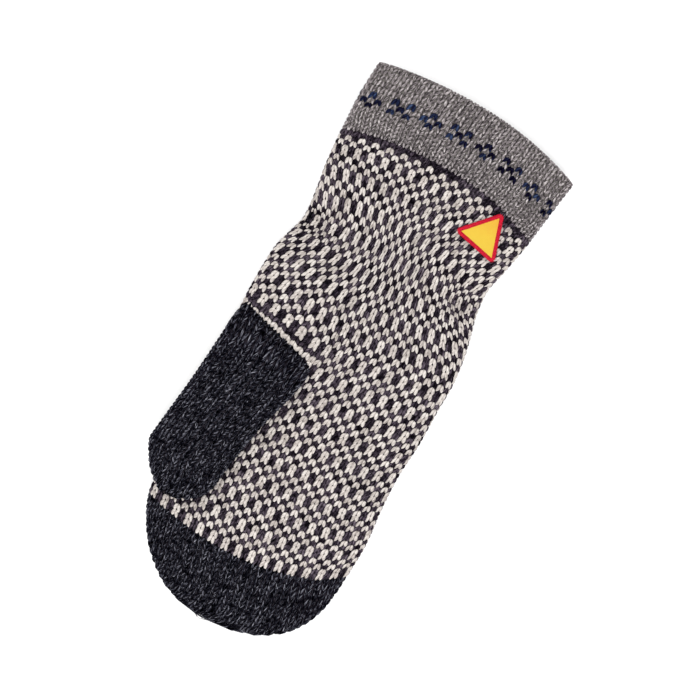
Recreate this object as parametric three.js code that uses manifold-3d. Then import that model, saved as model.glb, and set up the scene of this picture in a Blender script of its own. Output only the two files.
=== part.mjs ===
// A knitted right-hand mitten lying flat, palm up, with the thumb folded over the palm.
// Millimetres: +Z up, +Y towards the fingertips, +X towards the thumb's side.
// The origin is on the surface that the mitten lies on, halfway along it and under the cuff's middle.

import * as THREE from 'three';
import { mergeVertices } from 'three/addons/utils/BufferGeometryUtils.js';
import Module from 'manifold-3d';

// Lengths along the middle of the palm
const cuffLength = 33.4;
const bodyLength = 205.7;
const capLength = 33.8;
const thumbLength = 92.2;

// Widths of the flattened tube
const cuffWidth = 109.6;
const wristWidth = 92.6;
const palmWidth = 105.8;
const fingerWidth = 100.8;
const thumbWidth = 47.8;

// Heights of the flattened tube above the surface
const bodyHeight = 20;
const thumbHeight = 13;

// Knitted walls, and the gap that neighbouring pieces keep
const cuffWall = 4;
const bodyWall = 3;
const capWall = 2.8;
const thumbWall = 2.4;
const seamGap = 0.3;

// The thumb: where its first row is, how steeply it climbs out of the palm in degrees,
// and how deep under its lying height its middle is at that row
const thumbLineAlong = 139.7;
const thumbRise = 54;
const thumbDepth = 17;

// The woven label
const labelSide = 25.2;
const labelRound = 1.5;
const labelThickness = 1.2;
const labelAlong = 51.6;
const labelAcross = -0.273 * cuffWidth;
const labelTurn = 10.4;
const labelClearance = 0.6;

// The wrist's gathers and their two dimples, and the bed under the thumb
const gatherDepth = 2.2;
const gatherReach = 9;
const dimpleDepth = 4.5;
const dimpleReach = 8.5;
const thumbBedDepth = 2.5;

// Facets
const around = 40;
const aroundThumb = 28;
const rowStep = 7.4;
const capRows = 9;
const hemSteps = 4;
const labelRings = 5;
const labelSideSteps = 6;
const labelCornerSteps = 3;
const halvings = 40;
const weldDistance = 1e-5;

// Sections of the flattened tube. Each row is: length along the piece as a share of its whole length,
// width, half widths towards the thumb and away from it as shares of that width, height as a share of
// bodyHeight, and how far the knitted row's two edges trail its middle as shares of palmWidth.
const cuffSections = [
  [0.0, cuffWidth, 0.496, 0.496, 0.97, 0.055, 0.08],
  [0.5, cuffWidth, 0.498, 0.476, 0.96, 0.062, 0.084],
];
const bodySections = [
  [0.0, cuffWidth, 0.487, 0.461, 0.95, 0.075, 0.086],
  [0.104, cuffWidth, 0.467, 0.433, 0.95, 0.055, 0.06],
  [0.174, wristWidth, 0.528, 0.49, 0.9, 0.04, 0.034],
  [0.249, wristWidth, 0.512, 0.507, 0.84, 0.02, 0.01],
  [0.309, wristWidth, 0.533, 0.537, 0.87, -0.015, -0.015],
  [0.369, palmWidth, 0.487, 0.492, 0.93, -0.048, -0.04],
  [0.435, palmWidth, 0.492, 0.51, 0.98, -0.073, -0.048],
  [0.51, palmWidth, 0.489, 0.512, 1.0, -0.084, -0.056],
  [0.61, palmWidth, 0.474, 0.518, 1.0, -0.083, -0.078],
  [0.71, palmWidth, 0.459, 0.512, 1.0, -0.078, -0.107],
  [0.81, fingerWidth, 0.468, 0.549, 0.98, -0.068, -0.136],
  [0.915, fingerWidth, 0.453, 0.572, 0.94, -0.058, -0.17],
  [1.0, fingerWidth, 0.43, 0.572, 0.9, -0.05, -0.191],
];

// The rounded end: how the half widths, the height and the lags shrink towards the tip
const capTipAcross = -0.083;
const capRound = {
  thumbPower: 1.25,
  thumbRoot: 0.41,
  farPower: 3,
  farRoot: 0.5,
  highPower: 3,
  highRoot: 0.5,
};
const capTipLift = 0.24;

// Soft hollows in the upper face: across is a share of wristWidth, along a share of bodyLength.
// They fade out over hollowFade, a height above the widest line as a share of half the section.
const hollowFade = 0.5;
const hollows = [
  { across: 0.0, along: 0.245, wide: 0.5 * wristWidth, long: gatherReach, depth: gatherDepth },
  { across: 0.44, along: 0.26, wide: dimpleReach, long: dimpleReach, depth: dimpleDepth },
  { across: -0.39, along: 0.245, wide: dimpleReach, long: dimpleReach, depth: dimpleDepth },
  { across: 0.34, along: 0.72, wide: 0.6 * thumbWidth, long: 0.55 * thumbLength, depth: thumbBedDepth },
];

// The thumb's sections from its first row (along 0) to where its tip starts to round, lengths as
// shares of thumbLength: across is the middle's place as a share of palmWidth, half the half width as
// a share of thumbWidth. Its line's slope and its droop towards the palm's edge are both slopes across
// it, thumbEase rounds the bend over the palm, and thumbEvenShare of its rows are evenly spread.
const thumbSections = [
  { along: -0.015, across: 0.271, half: 0.41 },
  { along: 0.06, across: 0.272, half: 0.469 },
  { along: 0.2, across: 0.281, half: 0.464 },
  { along: 0.42, across: 0.308, half: 0.427 },
  { along: 0.64, across: 0.331, half: 0.414 },
  { along: 0.78, across: 0.343, half: 0.412 },
];
const thumbTip = {
  start: 0.78,
  outerPower: 1.2,
  outerRoot: 0.58,
  innerPower: 2.2,
  innerRoot: 0.5,
  highPower: 3,
  highRoot: 0.5,
};
const thumbLineSlope = -0.19;
const thumbDroop = 0.09;
const thumbEase = 3;
const thumbRows = 18;
const thumbEvenShare = 0.7;
const thumbSlopeStep = 0.5;

// Squareness of the sections' upper and lower halves and of the thumb's root, and how much of the
// lower half is flat
const upperSquareness = 2.6;
const lowerSquareness = 4;
const rootSquareness = 6;
const lowerFlatness = 1.05;

const totalLength = cuffLength + bodyLength + capLength;
const startY = -totalLength / 2;
const capStart = cuffLength + bodyLength;

// A smooth curve through a table's values, with slopes taken from the neighbouring rows
function smooth(rows, key, at) {
  const last = rows.length - 1;
  let i = 0;
  while (i < last - 1 && at > rows[i + 1].at) {
    i += 1;
  }
  const a = rows[i];
  const b = rows[i + 1];
  const slope = (k) => {
    const low = rows[Math.max(k - 1, 0)];
    const high = rows[Math.min(k + 1, last)];
    return (high[key] - low[key]) / (high.at - low.at);
  };
  const span = b.at - a.at;
  const t = (at - a.at) / span;
  const rise = t * t * (3 - 2 * t);
  const leave = t * (1 - t) * (1 - t);
  const arrive = t * t * (t - 1);
  return a[key] + (b[key] - a[key]) * rise + span * (slope(i) * leave + slope(i + 1) * arrive);
}

function tubeRow([along, width, thumbSide, farSide, height, thumbLag, farLag], start, length) {
  return {
    at: start + along * length,
    thumbSide: thumbSide * width,
    farSide: farSide * width,
    height: height * bodyHeight,
    thumbLag: thumbLag * palmWidth,
    farLag: farLag * palmWidth,
  };
}

const tubeRows = [
  ...cuffSections.map((section) => tubeRow(section, 0, cuffLength)),
  ...bodySections.map((section) => tubeRow(section, cuffLength, bodyLength)),
];

// The tube's section at a length along the palm's middle: half widths, height, lift and lags
function sectionAt(along) {
  const end = tubeRows[tubeRows.length - 1];
  if (along <= capStart) {
    return {
      thumbSide: smooth(tubeRows, 'thumbSide', along),
      farSide: smooth(tubeRows, 'farSide', along),
      height: smooth(tubeRows, 'height', along),
      lift: 0,
      thumbLag: smooth(tubeRows, 'thumbLag', along),
      farLag: smooth(tubeRows, 'farLag', along),
    };
  }
  const t = Math.min((along - capStart) / capLength, 1);
  const tip = capTipAcross * fingerWidth;
  const high = (1 - t ** capRound.highPower) ** capRound.highRoot;
  return {
    thumbSide: tip + (end.thumbSide - tip) * (1 - t ** capRound.thumbPower) ** capRound.thumbRoot,
    farSide: -tip + (end.farSide + tip) * (1 - t ** capRound.farPower) ** capRound.farRoot,
    height: end.height * high,
    lift: end.height * capTipLift * (1 - high),
    thumbLag: end.thumbLag * (1 - t),
    farLag: end.farLag * (1 - t),
  };
}

// How deep the upper face sinks at a place
function sink(x, y) {
  let depth = 0;
  for (const hollow of hollows) {
    const dx = (x - hollow.across * wristWidth) / hollow.wide;
    const dy = (y - startY - cuffLength - hollow.along * bodyLength) / hollow.long;
    depth += hollow.depth * Math.exp(-dx * dx - dy * dy);
  }
  return depth;
}

function signedPower(value, power) {
  return Math.sign(value) * Math.abs(value) ** power;
}

// A point of the tube's skin: angle 0 is the thumb's edge, a quarter turn is the palm's middle
function skinPoint(along, angle, grow) {
  const s = sectionAt(along);
  const c = Math.cos(angle);
  const up = Math.sin(angle);
  const squareness = up >= 0 ? upperSquareness : lowerSquareness;
  const side = signedPower(c, 2 / squareness);
  const middle = 0.5 * (s.thumbSide - s.farSide);
  const half = Math.max(0.5 * (s.thumbSide + s.farSide) + grow, 0);
  const x = middle + side * half;
  const lag = side >= 0 ? s.thumbLag : s.farLag;
  const y = startY + along + lag * side * side;
  const deep = Math.max(0.5 * s.height + grow, 0);
  const rise = signedPower(up, 2 / squareness);
  const level = up >= 0 ? rise : Math.max(rise * lowerFlatness, -1);
  const soft = THREE.MathUtils.smoothstep(up, 0, hollowFade);
  const z = s.lift + 0.5 * s.height + level * deep - soft * sink(x, y);
  return new THREE.Vector3(x, y, z);
}

function skinRing(along, grow, count = around) {
  const ring = [];
  for (let i = 0; i < count; i += 1) {
    ring.push(skinPoint(along, (2 * Math.PI * i) / count, grow));
  }
  return ring;
}

// A closed body through rings of points: either a loop of rings, or a row with a fan at each end
function loft(rings, isLoop) {
  const count = rings[0].length;
  const positions = [];
  const indices = [];
  for (const ring of rings) {
    for (const point of ring) {
      positions.push(point.x, point.y, point.z);
    }
  }
  const bands = isLoop ? rings.length : rings.length - 1;
  for (let r = 0; r < bands; r += 1) {
    const next = (r + 1) % rings.length;
    for (let i = 0; i < count; i += 1) {
      const j = (i + 1) % count;
      const [a, b] = [r * count + i, r * count + j];
      const [c, d] = [next * count + i, next * count + j];
      indices.push(a, b, d, a, d, c);
    }
  }
  if (!isLoop) {
    for (const [r, turned] of [[0, true], [rings.length - 1, false]]) {
      const middle = new THREE.Vector3();
      rings[r].forEach((point) => middle.add(point));
      middle.divideScalar(count);
      const apex = positions.length / 3;
      positions.push(middle.x, middle.y, middle.z);
      for (let i = 0; i < count; i += 1) {
        const [a, b] = [r * count + i, r * count + ((i + 1) % count)];
        indices.push(...(turned ? [b, a, apex] : [a, b, apex]));
      }
    }
  }
  return facingOut(positions, indices);
}

function signedVolume(positions, indices) {
  let six = 0;
  const corner = (i) => new THREE.Vector3().fromArray(positions, 3 * i);
  for (let i = 0; i < indices.length; i += 3) {
    const [a, b, c] = [corner(indices[i]), corner(indices[i + 1]), corner(indices[i + 2])];
    six += a.dot(b.cross(c));
  }
  return six / 6;
}

function facingOut(positions, indices) {
  const inward = signedVolume(positions, indices) < 0;
  const geometry = new THREE.BufferGeometry();
  geometry.setAttribute('position', new THREE.Float32BufferAttribute(positions, 3));
  geometry.setIndex(inward ? [...indices].reverse() : indices);
  return geometry;
}

// Lengths from one place to another in even steps of about rowStep
function steps(from, to) {
  const count = Math.max(Math.ceil((to - from) / rowStep), 2);
  return Array.from({ length: count + 1 }, (_, i) => from + ((to - from) * i) / count);
}

const wasm = await Module();
wasm.setup();

function solidOf(geometry) {
  const merged = mergeVertices(geometry, weldDistance);
  const mesh = new wasm.Mesh({
    numProp: 3,
    vertProperties: Float32Array.from(merged.attributes.position.array),
    triVerts: Uint32Array.from(merged.index.array),
  });
  return new wasm.Manifold(mesh);
}

function geometryOf(solid) {
  const mesh = solid.getMesh();
  const geometry = new THREE.BufferGeometry();
  geometry.setAttribute('position', new THREE.Float32BufferAttribute(mesh.vertProperties, 3));
  geometry.setIndex(Array.from(mesh.triVerts));
  return geometry;
}

// The cuff: a wall with a turned hem, whose mouth is a half round
function cuffGeometry() {
  const hem = cuffWall / 2;
  const to = cuffLength - seamGap / 2;
  const lengths = steps(hem, to);
  const rings = lengths.map((along) => skinRing(along, 0));
  for (const along of [...lengths].reverse()) {
    rings.push(skinRing(along, -cuffWall));
  }
  for (let i = 1; i < hemSteps; i += 1) {
    const turn = (Math.PI * i) / hemSteps;
    rings.push(skinRing(hem - hem * Math.sin(turn), -hem - hem * Math.cos(turn)));
  }
  return loft(rings, true);
}

// The hand: an open tube from the cuff to the cap
function handTube() {
  const lengths = steps(cuffLength + seamGap / 2, capStart - seamGap / 2);
  const rings = lengths.map((along) => skinRing(along, 0));
  for (const along of [...lengths].reverse()) {
    rings.push(skinRing(along, -bodyWall));
  }
  return loft(rings, true);
}

// Rings of the closed end, evenly spread over its rounding; its tip draws back as the skin shrinks
function capRings(grow) {
  const rings = [];
  for (let i = 0; i < capRows; i += 1) {
    const t = Math.sin((0.5 * Math.PI * i) / capRows);
    const start = capStart + seamGap / 2;
    const ring = skinRing(start + (capLength - seamGap / 2) * t, grow);
    ring.forEach((point) => point.setY(point.y + grow * t));
    rings.push(ring);
  }
  return rings;
}

function capGeometry() {
  return loft([...capRings(-capWall).reverse(), ...capRings(0)], false);
}

// The whole outer form as one solid, for cutting what lies on it or joins it
function wholeForm(grow) {
  const rings = steps(0, capStart).map((along) => skinRing(along, grow));
  return solidOf(loft([...rings, ...capRings(grow)], false));
}

// Height of the upper face over a place on the floor
function faceLevel(x, y) {
  let low = 0;
  let high = totalLength;
  const sideAt = (s) => {
    const middle = 0.5 * (s.thumbSide - s.farSide);
    return Math.max(Math.min((x - middle) / (0.5 * (s.thumbSide + s.farSide)), 1), -1);
  };
  for (let i = 0; i < halvings; i += 1) {
    const guess = 0.5 * (low + high);
    const row = sectionAt(guess);
    const side = sideAt(row);
    const lag = side >= 0 ? row.thumbLag : row.farLag;
    if (startY + guess + lag * side * side < y) {
      low = guess;
    } else {
      high = guess;
    }
  }
  const s = sectionAt(low);
  const level = (1 - Math.abs(sideAt(s)) ** upperSquareness) ** (1 / upperSquareness);
  return s.lift + 0.5 * s.height * (1 + level) - sink(x, y);
}

const thumbTable = thumbSections.map((section) => ({
  at: section.along * thumbLength,
  across: section.across * palmWidth,
  half: section.half * thumbWidth,
}));

// The thumb's middle line: it climbs out of the palm, then lies along it
function thumbLevel(along) {
  const across = smooth(thumbTable, 'across', Math.min(along, thumbTip.start * thumbLength));
  const bed = faceLevel(across, startY + thumbLineAlong + along);
  const below = thumbDepth - Math.tan(THREE.MathUtils.degToRad(thumbRise)) * along;
  return bed + seamGap + 0.5 * thumbHeight - 0.5 * (below + Math.hypot(below, thumbEase));
}

function thumbRing(t, grow) {
  const first = thumbTable[0].at;
  const along = first + (thumbLength - first) * t;
  const start = thumbTip.start * thumbLength;
  const round = Math.max((along - start) / (thumbLength - start), 0);
  const outer = (1 - round ** thumbTip.outerPower) ** thumbTip.outerRoot;
  const inner = (1 - round ** thumbTip.innerPower) ** thumbTip.innerRoot;
  const low = (1 - round ** thumbTip.highPower) ** thumbTip.highRoot;
  const held = Math.min(along, start);
  const wide = smooth(thumbTable, 'half', held);
  const half = Math.max(0.5 * wide * (outer + inner) + grow, 0);
  const deep = Math.max(0.5 * thumbHeight * low + grow, 0);
  const middle = smooth(thumbTable, 'across', held) + 0.5 * wide * (outer - inner);
  const climb = thumbLevel(along + thumbSlopeStep) - thumbLevel(along - thumbSlopeStep);
  const tangent = new THREE.Vector2(2 * thumbSlopeStep, climb).normalize();
  const sag = 0.5 * thumbHeight * (1 - low);
  const settled = THREE.MathUtils.smoothstep(along, 0, thumbDepth);
  const ring = [];
  for (let i = 0; i < aroundThumb; i += 1) {
    const angle = (2 * Math.PI * i) / aroundThumb;
    const up = Math.sin(angle);
    const upper = THREE.MathUtils.lerp(rootSquareness, upperSquareness, settled);
    const squareness = up >= 0 ? upper : lowerSquareness;
    const x = signedPower(Math.cos(angle), 2 / squareness) * half;
    const rise = signedPower(up, 2 / squareness) * deep;
    const slant = (1 - Math.min(Math.max(along / start, 0), 1)) * thumbLineSlope;
    const y = startY + thumbLineAlong + along + x * slant - rise * tangent.y + grow * round;
    const z = thumbLevel(along) - sag + rise * tangent.x - thumbDroop * x * settled;
    ring.push(new THREE.Vector3(middle + x, y, z));
  }
  return ring;
}

function thumbForm(grow) {
  const rings = [];
  for (let i = 0; i < thumbRows; i += 1) {
    const even = i / thumbRows;
    const rest = 1 - thumbEvenShare;
    const late = Math.sin(0.5 * Math.PI * Math.max((even - thumbEvenShare) / rest, 0));
    rings.push(thumbRing(Math.min(even, thumbEvenShare) + rest * late, grow));
  }
  return solidOf(loft(rings, false));
}

// The label: a triangle that follows the knitting, point towards the cuff
// The label's outline as points round its middle, with rounded corners
function labelOutline() {
  const reach = labelSide / Math.sqrt(3) - 2 * labelRound;
  const turn = THREE.MathUtils.degToRad(labelTurn);
  const arcs = [0, 1, 2].map((corner) => {
    const heading = -0.5 * Math.PI - turn + (2 * Math.PI * corner) / 3;
    const middle = new THREE.Vector2(reach * Math.cos(heading), reach * Math.sin(heading));
    return Array.from({ length: labelCornerSteps + 1 }, (_, i) => {
      const angle = heading + (i / labelCornerSteps - 0.5) * ((2 * Math.PI) / 3);
      return new THREE.Vector2(Math.cos(angle), Math.sin(angle)).multiplyScalar(labelRound).add(middle);
    });
  });
  const outline = [];
  arcs.forEach((arc, corner) => {
    outline.push(...arc);
    const from = arc[labelCornerSteps];
    const to = arcs[(corner + 1) % 3][0];
    for (let i = 1; i < labelSideSteps; i += 1) {
      outline.push(from.clone().lerp(to, i / labelSideSteps));
    }
  });
  return outline;
}

// Rings of the outline, shrinking to its middle, draped over the palm once for each face
function labelGeometry() {
  const outline = labelOutline();
  const count = outline.length;
  const positions = [];
  for (const raise of [labelThickness, 0]) {
    for (let ring = labelRings; ring >= 0; ring -= 1) {
      for (const point of ring > 0 ? outline : [outline[0]]) {
        const x = labelAcross + (point.x * ring) / labelRings;
        const y = startY + labelAlong + (point.y * ring) / labelRings;
        positions.push(x, y, faceLevel(x, y) + labelClearance + raise);
      }
    }
  }
  const face = labelRings * count + 1;
  const at = (ring, i) => (ring === labelRings ? face - 1 : ring * count + (i % count));
  const indices = [];
  for (let i = 0; i < count; i += 1) {
    for (let ring = 0; ring < labelRings; ring += 1) {
      const corners = [at(ring, i), at(ring, i + 1), at(ring + 1, i + 1), at(ring + 1, i)];
      const [a, b, c, d] = corners;
      indices.push(a, b, c, face + a, face + c, face + b);
      if (c !== d) {
        indices.push(a, c, d, face + a, face + d, face + c);
      }
    }
    indices.push(at(0, i), face + at(0, i), face + at(0, i + 1));
    indices.push(at(0, i), face + at(0, i + 1), at(0, i + 1));
  }
  return facingOut(positions, indices);
}

function cloth(name, geometry, color) {
  const material = new THREE.MeshStandardMaterial({ color, roughness: 0.95, metalness: 0 });
  const mesh = new THREE.Mesh(geometry, material);
  mesh.name = name;
  return mesh;
}

const thumbHollow = thumbForm(-thumbWall);
const hand = solidOf(handTube()).subtract(thumbHollow);
const thumb = thumbForm(0).subtract(thumbHollow).subtract(wholeForm(seamGap));

const mitten = new THREE.Group();
mitten.add(cloth('cuff', cuffGeometry(), 0x8d8682));
mitten.add(cloth('hand', geometryOf(hand), 0x8a8380));
mitten.add(cloth('fingertip_cap', capGeometry(), 0x2b2b30));
mitten.add(cloth('thumb', geometryOf(thumb), 0x2b2b30));
mitten.add(cloth('label', labelGeometry(), 0xf2c336));

export default mitten;
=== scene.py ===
"""A knitted right-hand mitten lying flat, palm up, on a pale table in soft studio light.

Every stitch is a pair of yarn legs. The stitches are laid out in fabric coordinates, x in columns
and y in rows, and then laid on the mitten's form.
"""

import math

import bpy
import numpy as np
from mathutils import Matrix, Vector
from mathutils.bvhtree import BVHTree


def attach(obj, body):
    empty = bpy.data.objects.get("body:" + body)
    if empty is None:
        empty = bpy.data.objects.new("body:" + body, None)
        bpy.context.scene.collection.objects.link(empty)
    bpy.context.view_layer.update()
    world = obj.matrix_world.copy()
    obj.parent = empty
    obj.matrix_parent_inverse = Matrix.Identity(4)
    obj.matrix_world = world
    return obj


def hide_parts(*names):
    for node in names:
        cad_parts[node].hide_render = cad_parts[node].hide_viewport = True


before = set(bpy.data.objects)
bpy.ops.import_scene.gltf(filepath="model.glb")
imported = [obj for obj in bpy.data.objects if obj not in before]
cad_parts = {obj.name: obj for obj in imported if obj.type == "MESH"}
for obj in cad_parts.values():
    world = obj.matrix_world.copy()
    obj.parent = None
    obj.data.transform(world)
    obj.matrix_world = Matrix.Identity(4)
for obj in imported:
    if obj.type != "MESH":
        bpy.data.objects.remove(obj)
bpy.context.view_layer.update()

MM = 0.001
TINY = 1e-9
HALF_TURN = math.pi
QUARTER_TURN = 0.5 * math.pi
FULL_TURN = 2 * math.pi

# The mitten's lengths, widths and heights in millimetres
CUFF_LENGTH = 33.4
BODY_LENGTH = 205.7
CAP_LENGTH = 33.8
THUMB_LENGTH = 92.2
CUFF_WIDTH = 109.6
WRIST_WIDTH = 92.6
PALM_WIDTH = 105.8
FINGER_WIDTH = 100.8
THUMB_WIDTH = 47.8
BODY_HEIGHT = 20.0
THUMB_HEIGHT = 13.0
CUFF_WALL = 4.0
BODY_WALL = 3.0
CAP_WALL = 2.8
THUMB_WALL = 2.4
CAP_START = CUFF_LENGTH + BODY_LENGTH
TOTAL_LENGTH = CAP_START + CAP_LENGTH
START_Y = -0.5 * TOTAL_LENGTH

# The flattened tube's sections. Columns: length along as a share of the piece, width, half widths
# towards the thumb and away from it as shares of the width, height as a share of BODY_HEIGHT, and
# how far a knitted row's two edges trail its middle as shares of PALM_WIDTH
CUFF_SECTIONS = (
    (0.0, CUFF_WIDTH, 0.496, 0.496, 0.97, 0.055, 0.08),
    (0.5, CUFF_WIDTH, 0.498, 0.476, 0.96, 0.062, 0.084),
)
BODY_SECTIONS = (
    (0.0, CUFF_WIDTH, 0.487, 0.461, 0.95, 0.075, 0.086),
    (0.104, CUFF_WIDTH, 0.467, 0.433, 0.95, 0.055, 0.06),
    (0.174, WRIST_WIDTH, 0.528, 0.49, 0.9, 0.04, 0.034),
    (0.249, WRIST_WIDTH, 0.512, 0.507, 0.84, 0.02, 0.01),
    (0.309, WRIST_WIDTH, 0.533, 0.537, 0.87, -0.015, -0.015),
    (0.369, PALM_WIDTH, 0.487, 0.492, 0.93, -0.048, -0.04),
    (0.435, PALM_WIDTH, 0.492, 0.51, 0.98, -0.073, -0.048),
    (0.51, PALM_WIDTH, 0.489, 0.512, 1.0, -0.084, -0.056),
    (0.61, PALM_WIDTH, 0.474, 0.518, 1.0, -0.083, -0.078),
    (0.71, PALM_WIDTH, 0.459, 0.512, 1.0, -0.078, -0.107),
    (0.81, FINGER_WIDTH, 0.468, 0.549, 0.98, -0.068, -0.136),
    (0.915, FINGER_WIDTH, 0.453, 0.572, 0.94, -0.058, -0.17),
    (1.0, FINGER_WIDTH, 0.43, 0.572, 0.9, -0.05, -0.191),
)
UPPER_SQUARENESS = 2.6
LOWER_SQUARENESS = 4.0
ROOT_SQUARENESS = 6.0
LOWER_FLATNESS = 1.05

# The rounded end
CAP_TIP_X = -0.083 * FINGER_WIDTH
CAP_TIP_LIFT = 0.24
CAP_THUMB_ROUND = (1.25, 0.41)
CAP_FAR_ROUND = (3.0, 0.5)
CAP_HIGH_ROUND = (3.0, 0.5)

# Soft hollows in the upper face. Columns: x, length along, reach across, reach along, depth
HOLLOW_FADE = 0.5
HOLLOWS = (
    (0.0, CUFF_LENGTH + 0.245 * BODY_LENGTH, 0.5 * WRIST_WIDTH, 9.0, 2.2),
    (0.44 * WRIST_WIDTH, CUFF_LENGTH + 0.26 * BODY_LENGTH, 8.5, 8.5, 4.5),
    (-0.39 * WRIST_WIDTH, CUFF_LENGTH + 0.245 * BODY_LENGTH, 8.5, 8.5, 4.5),
    (0.34 * WRIST_WIDTH, CUFF_LENGTH + 0.72 * BODY_LENGTH, 0.6 * THUMB_WIDTH, 0.55 * THUMB_LENGTH, 2.5),
)
DIMPLES = HOLLOWS[1:3]

# The thumb's sections. Columns: length along as a share of the thumb, x as a share of PALM_WIDTH,
# half width as a share of THUMB_WIDTH
THUMB_SECTIONS = (
    (-0.015, 0.271, 0.41),
    (0.06, 0.272, 0.469),
    (0.2, 0.281, 0.464),
    (0.42, 0.308, 0.427),
    (0.64, 0.331, 0.414),
    (0.78, 0.343, 0.412),
)
# Where the thumb leaves the palm, how it climbs out of it and how its tip rounds off
THUMB_LINE = 139.7
THUMB_RISE = math.radians(54)
THUMB_DEPTH = 17.0
THUMB_LIFT = 0.3
THUMB_TIP_START = 0.78 * THUMB_LENGTH
THUMB_OUTER_ROUND = (1.2, 0.58)
THUMB_INNER_ROUND = (2.2, 0.5)
THUMB_HIGH_ROUND = (3.0, 0.5)
THUMB_LINE_SLOPE = -0.19
THUMB_DROOP = 0.09
THUMB_EASE = 3.0

# Stitches: how many go round, and the rows of each part. The tables further on count the last
# few columns before the thumb's edge as negative
COLUMNS = 64
HALF_COLUMNS = COLUMNS // 2
THUMB_COLUMNS = 24
CUFF_ROWS = 15
BODY_ROWS = 69
CAP_ROWS = 15.5
THUMB_ROWS = 43
THUMB_FIRST = 0.4
THUMB_EVEN_ROWS = 34
INNER_ROWS = 15
BODY_END = CUFF_ROWS + BODY_ROWS
EDGE_COLUMNS = 8

# Where the cuff's rows lie, its figures' rows being taller. Columns: row, millimetres from the fold
CUFF_PLACES = (
    (0, 0.0),
    (6, 13.7),
    (9, 21.3),
    (15, 33.4),
    (30, 66.8),
)

# Millimetres from row to row up the hand. Columns: row, spacing
ROW_SPACING = (
    (0, 2.65),
    (4, 2.8),
    (8, 3.0),
    (12, 3.35),
    (16, 3.55),
    (20, 3.4),
    (24, 3.1),
    (28, 2.97),
    (34, 2.85),
    (42, 2.92),
    (52, 2.82),
    (69, 2.75),
)
# How far the columns drift towards the thumb's side up the hand. Columns: row, columns of drift
DRIFT = (
    (0, 0.3),
    (12, 0.15),
    (22, 0.0),
    (30, 0.0),
    (34.5, 0.3),
    (39, 0.56),
    (43, 0.75),
    (47, 0.85),
    (51, 1.02),
    (55.5, 1.18),
    (60, 1.23),
    (64, 1.14),
    (69, 1.0),
)
# The same round the hand, and the row and reach at the wrist where it isn't felt.
# Columns: column, columns of drift
DRIFT_ROUND = (
    (-6, 0.0),
    (2.5, 0.1),
    (7, 0.05),
    (11, -0.08),
    (15.5, 0.0),
    (20, 0.12),
    (24, 0.25),
    (28.5, 0.3),
    (38, 0.0),
)
CALM_ROW = 21
CALM_ROWS = 5.0
# The same round the cuff, and the rows over which it gives way to the hand's
CUFF_DRIFT = (
    (-6, 0.0),
    (2, 0.63),
    (6, 0.43),
    (10, 0.15),
    (14, 0.0),
    (38, 0.0),
)
CUFF_DRIFT_FADE = 4
# The drift away from the thumb's side next to its line, and the row and reach that it is felt over.
# Columns: column, columns of drift
THUMB_DRIFT = (
    (-4, 0.0),
    (2, -0.15),
    (5, 0.0),
    (7.5, 0.33),
    (10, 0.8),
    (12, 1.02),
    (15, 0.68),
    (18, 0.15),
    (21, 0.0),
)
THUMB_DRIFT_ROW = 33
THUMB_DRIFT_ROWS = 5.5

# How much the gathered wrist draws the palm's columns together, and the row and reach of it
GATHER = 0.31
GATHER_ROW = 17.0
GATHER_ROWS = 9.0

# How much and from how far the dimples draw the stitches in, fading in over two heights
DIMPLE_PINCH = 0.45
DIMPLE_REACH = 12.0
DIMPLE_LEVELS = (6, 14)

# How far the rows wave up the palm, in millimetres: a line for each row, a number for each column
WAVE_COLUMNS = (-6, 2.5, 7, 11, 15.5, 20, 24, 28.5, 40)
WAVES = (
    (-12, (0, 0, 0, 0, 0, 0, 0, 0, 0)),
    (-8, (0, 3.2, 2.5, 1.4, 0.7, 0.5, 0.1, 1.0, 0)),
    (-4, (0, 2.2, 1.6, 1.0, 0.5, 0.2, -0.4, 0.6, 0)),
    (0, (0, 0.9, 0.6, 0.4, 0.3, -0.2, -0.9, 0.2, 0)),
    (4, (0, 0.2, -0.2, -0.4, -0.4, -0.6, -1.2, 0.4, 0)),
    (12, (0, 1.2, -0.2, -1.0, -0.1, -0.6, -1.0, 0.8, 0)),
    (19, (0, 0.3, -0.5, -2.0, -0.3, -0.4, -1.9, -0.8, 0)),
    (23, (0, 0.2, -0.4, -1.2, -0.2, -1.2, -2.8, -4.4, 0)),
    (27, (0, 1.0, -0.2, -0.4, -0.2, -1.0, -3.0, -4.2, 0)),
    (31, (0, 2.2, 0.6, 1.6, 0.4, -0.8, -2.6, -3.2, 0)),
    (35, (0, 2.2, -0.4, 1.4, 0.6, -1.0, -2.2, -2.0, 0)),
    (39, (0, 1.5, 2.0, 2.2, 1.0, -0.8, -1.6, -1.0, 0)),
    (47, (0, 2.0, 2.2, 2.2, 0.4, -1.0, -1.4, 0.2, 0)),
    (55, (0, 1.5, 1.5, 1.5, -0.1, -1.3, -1.0, 0.9, 0)),
    (64, (0, 0.7, 0.8, 0.6, -0.8, -1.6, -0.7, 1.4, 0)),
    (69, (0, 0.6, 0.7, 0.6, -0.8, -1.6, -0.8, 1.2, 0)),
    (76, (0, 0, 0, 0, 0, 0, 0, 0, 0)),
)

# The thumb's line: the row of light stitches that its opening was knitted into
THUMB_LINE_ROW = 34
THUMB_LINE_COLUMNS = (0, 13)

# The cuff's band of little rings and crosses: its chart, first row and shift round the cuff
FIGURES = (
    ".B..B.B.",
    "B.B..B..",
    ".B..B.B.",
)
FIGURE_ROW = 6
FIGURE_SHIFT = 2

# The grids that the stitches are laid on: their steps and the samples taken along and around
SKIN_STEP = 0.5
HALF_STEP = 0.5 * SKIN_STEP
FOLD_STEP = 0.125
SHEET_SPARE = 2
RING_SAMPLES = 1024
ROW_SAMPLES = 1461
LEVEL_HALVINGS = 40
FACE_REACH = 0.6

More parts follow.
